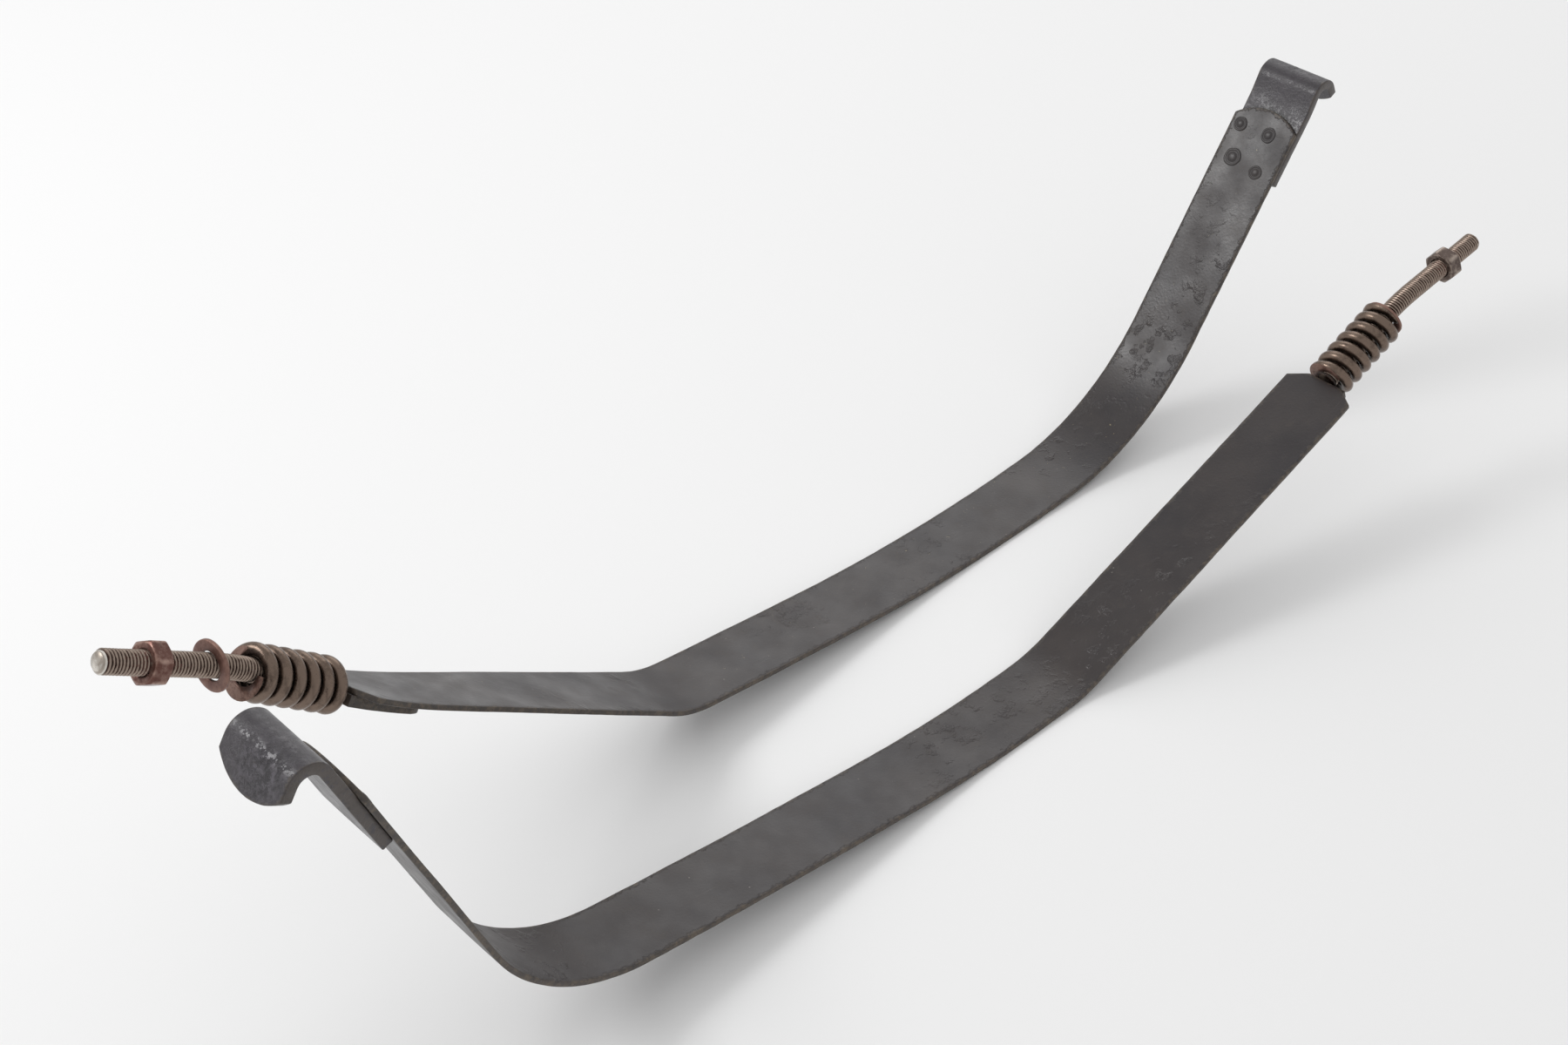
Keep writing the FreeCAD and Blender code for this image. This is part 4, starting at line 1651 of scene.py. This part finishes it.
@dataclass
class Nut:
    """A hexagon nut, bevelled on both faces, with rounded corners.

    Args:
        form, finishes: Its strap's form and the materials.
        across_flats, thick: Its size.
        hole, mouth, mouth_depth: Bore, and the bevel where the bore opens.
        bevel_angle: Slope of the bevelled corners against the faces.
        blend: Rounding between flats, corners and bevel.
        dent: Depth of its unevenness.
        depths: Where its sides have rows of vertices, in millimetres from each face.
        steps: How many faces it has round its axis.
    """

    form: Form
    finishes: Finishes
    across_flats: float = 13 * MM
    thick: float = 6.5 * MM
    hole: float = 8.1 * MM
    mouth: float = 9.0 * MM
    mouth_depth: float = 0.5 * MM
    bevel_angle: float = math.radians(30)
    blend: float = 0.16 * MM
    dent: float = 0.03 * MM
    depths: tuple[float, ...] = (0.0, 0.08, 0.2, 0.35, 0.5, 0.65, 0.8, 1.0, 1.5, 2.3)
    steps: int = 180

    def outline(self) -> list[tuple[float, float]]:
        """Half-section of the ring that the hexagon is shaped from.

        Returns:
            Points (along, radius).
        """
        half = self.thick / 2
        face = self.across_flats / 2 * 0.96
        rows = [-half + d * MM for d in self.depths]
        rows += [-x for x in reversed(rows)]
        bore, mouth, wide = self.hole / 2, self.mouth / 2, self.across_flats
        deep = half - self.mouth_depth
        return [
            (-half, face - 0.5 * MM),
            *[(x, wide) for x in rows],
            (half, face - 0.5 * MM), (half, mouth + 0.2 * MM), (half - 0.05 * MM, mouth),
            (deep, bore), (-deep, bore), (-half + 0.05 * MM, mouth), (-half, mouth + 0.2 * MM),
        ]

    def radius(self, angle: float, depth: float) -> float:
        """Finds the radius of the nut's side.

        Args:
            angle: Angle about the axis.
            depth: Distance from the nearer face.

        Returns:
            The radius.
        """
        sector = math.pi / 3
        flat = self.across_flats / 2 / math.cos((angle % sector) - sector / 2)
        cone = self.across_flats / 2 * 0.95 + depth / math.tan(self.bevel_angle)
        corner = self.across_flats / math.sqrt(3) * 0.975
        return soft_least((flat, cone, corner), self.blend)

    def build(self) -> bpy.types.Object:
        """Makes the nut.

        Returns:
            The piece.
        """
        b = self.form.bends
        bm = revolved(self.outline(), self.steps)
        half = self.thick / 2
        rub_and_shade = bm.verts.layers.float.new("rub_and_shade")
        rust = bm.verts.layers.float.new("rust")
        for v in bm.verts:
            r = math.hypot(v.co.y, v.co.z)
            depth = half - abs(v.co.x)
            if r > self.across_flats * 0.9:
                # A corner of the hexagon lies on Y, as in the CAD nut.
                new = self.radius(math.atan2(v.co.z, v.co.y), depth)
                v.co.y *= new / r
                v.co.z *= new / r
                edge = smooth(6.9 * MM, 7.4 * MM, new) + (1 - smooth(0.0, 0.6 * MM, depth)) * 0.4
                v[rub_and_shade] = 0.3 + 0.5 * min(1.0, edge)
                v[rust] = 0.2
            else:
                v[rub_and_shade] = 0.35
                v[rust] = 0.6 if r < self.mouth / 2 + 0.3 * MM else 0.3
            v.co += v.normal * self.dent * grain(v.co, 2.5 * MM, 13.0)
        place = self.form.outer(b.nut_at * MM)
        spin = Matrix.Rotation(math.radians(b.nut_spin), 4, "X")
        bmesh.ops.transform(bm, matrix=place.matrix() @ spin, verts=bm.verts)
        bmesh.ops.recalc_face_normals(bm, faces=bm.faces)
        steel = self.finishes.front_nut
        if self.form.lay is Lay.REAR:
            steel = self.finishes.rear_nut
        return piece(bm, self.form.lay, Part.NUT, [steel])


def soft_least(values: tuple[float, ...], blend: float) -> float:
    """The least of several values, with the creases between them rounded.

    Args:
        values: The values.
        blend: Size of the rounding.

    Returns:
        A value a little under the least.
    """
    least = min(values)
    total = sum(math.exp(-(v - least) / blend) for v in values)
    return least - blend * math.log(total) * 0.6


# ---------------------------------------------------------------- studio


@dataclass(frozen=True)
class Studio:
    """Pale floor, soft light and the camera.

    Args:
        eye: The camera's place over the row frame's origin.
        tilt: How far it looks down from the horizon, in degrees.
        lens, sensor: Focal length and width of the sensor, in millimetres.
        floor_colour, floor_size, floor_gap: The floor, a hair under the straps.
        sky: Strength of the even white light from all round.
        lamps: Each softbox's name, place, size and power in watts.
    """

    eye: tuple[float, float, float] = (-0.0488, -0.6776, 0.6098)
    tilt: float = 38.27
    lens: float = 52.87
    sensor: float = 36.0
    floor_colour: str = "f0f0f0"
    floor_size: float = 4.0
    floor_gap: float = 0.08 * MM
    sky: float = 0.72
    lamps: tuple[tuple[str, tuple[float, float, float], float, float], ...] = (
        ("back", (0.1, 1.6, 1.25), 1.3, 6.5),
        ("side", (-1.2, 0.0, 1.15), 0.5, 8.0),
    )

    def camera(self) -> None:
        """Puts up the camera."""
        data = bpy.data.cameras.new("camera")
        data.sensor_width = self.sensor
        data.lens = self.lens
        data.clip_start, data.clip_end = 0.01, 50.0
        made = bpy.data.objects.new("camera", data)
        made.location = self.eye
        made.rotation_euler = (math.radians(90 - self.tilt), 0.0, 0.0)
        bpy.context.scene.collection.objects.link(made)
        bpy.context.scene.camera = made

    def floor(self) -> None:
        """Lays a wide matt sheet just under the straps."""
        bm = bmesh.new()
        bmesh.ops.create_grid(bm, x_segments=4, y_segments=4, size=self.floor_size)
        level = CAD_BOUNDS[0].z - self.floor_gap
        bmesh.ops.translate(bm, verts=bm.verts, vec=(0, 0, level))
        mesh = bpy.data.meshes.new("floor")
        bm.to_mesh(mesh)
        bm.free()
        # White background paper: matt, with nothing of its own to see.
        paper = Shader("background_paper")
        mesh.materials.append(
            paper.dress({"Base Color": linear(self.floor_colour), "Roughness": 0.9})
        )
        made = bpy.data.objects.new("floor", mesh)
        bpy.context.scene.collection.objects.link(made)

    def lamp(self, name: str, at: tuple[float, float, float], size: float, watts: float) -> None:
        """Hangs one square softbox that points at the straps.

        Args:
            name: Its name.
            at: Where it hangs.
            size: Length of its sides.
            watts: Its power.
        """
        data = bpy.data.lights.new(name, "AREA")
        data.shape = "SQUARE"
        data.size = size
        data.energy = watts
        made = bpy.data.objects.new(name, data)
        made.location = at
        made.rotation_euler = (-Vector(at)).to_track_quat("-Z", "Y").to_euler()
        bpy.context.scene.collection.objects.link(made)

    def build(self) -> None:
        """Sets the whole studio."""
        world = bpy.data.worlds.new("studio")
        world.use_nodes = True
        back = world.node_tree.nodes["Background"]
        back.inputs["Color"].default_value = (1.0, 1.0, 1.0, 1.0)
        back.inputs["Strength"].default_value = self.sky
        bpy.context.scene.world = world
        bpy.context.scene.view_settings.view_transform = "Standard"
        self.floor()
        for lamp in self.lamps:
            self.lamp(*lamp)
        self.camera()


def main() -> None:
    """Builds both straps, reports each piece, and sets the studio."""
    logging.basicConfig(level=logging.INFO, format="%(name)s: %(message)s")
    finishes = Finishes.made()
    for lay in Lay:
        form = Form(lay)
        pieces = Strap(form, finishes).build()
        pieces += [kind(form, finishes).build() for kind in (Stud, Spring, Washer, Nut)]
        for made in pieces:
            LOG.info("%s: %d faces", made.name, len(made.data.polygons))
    Studio().build()


if __name__ == "__main__":
    main()
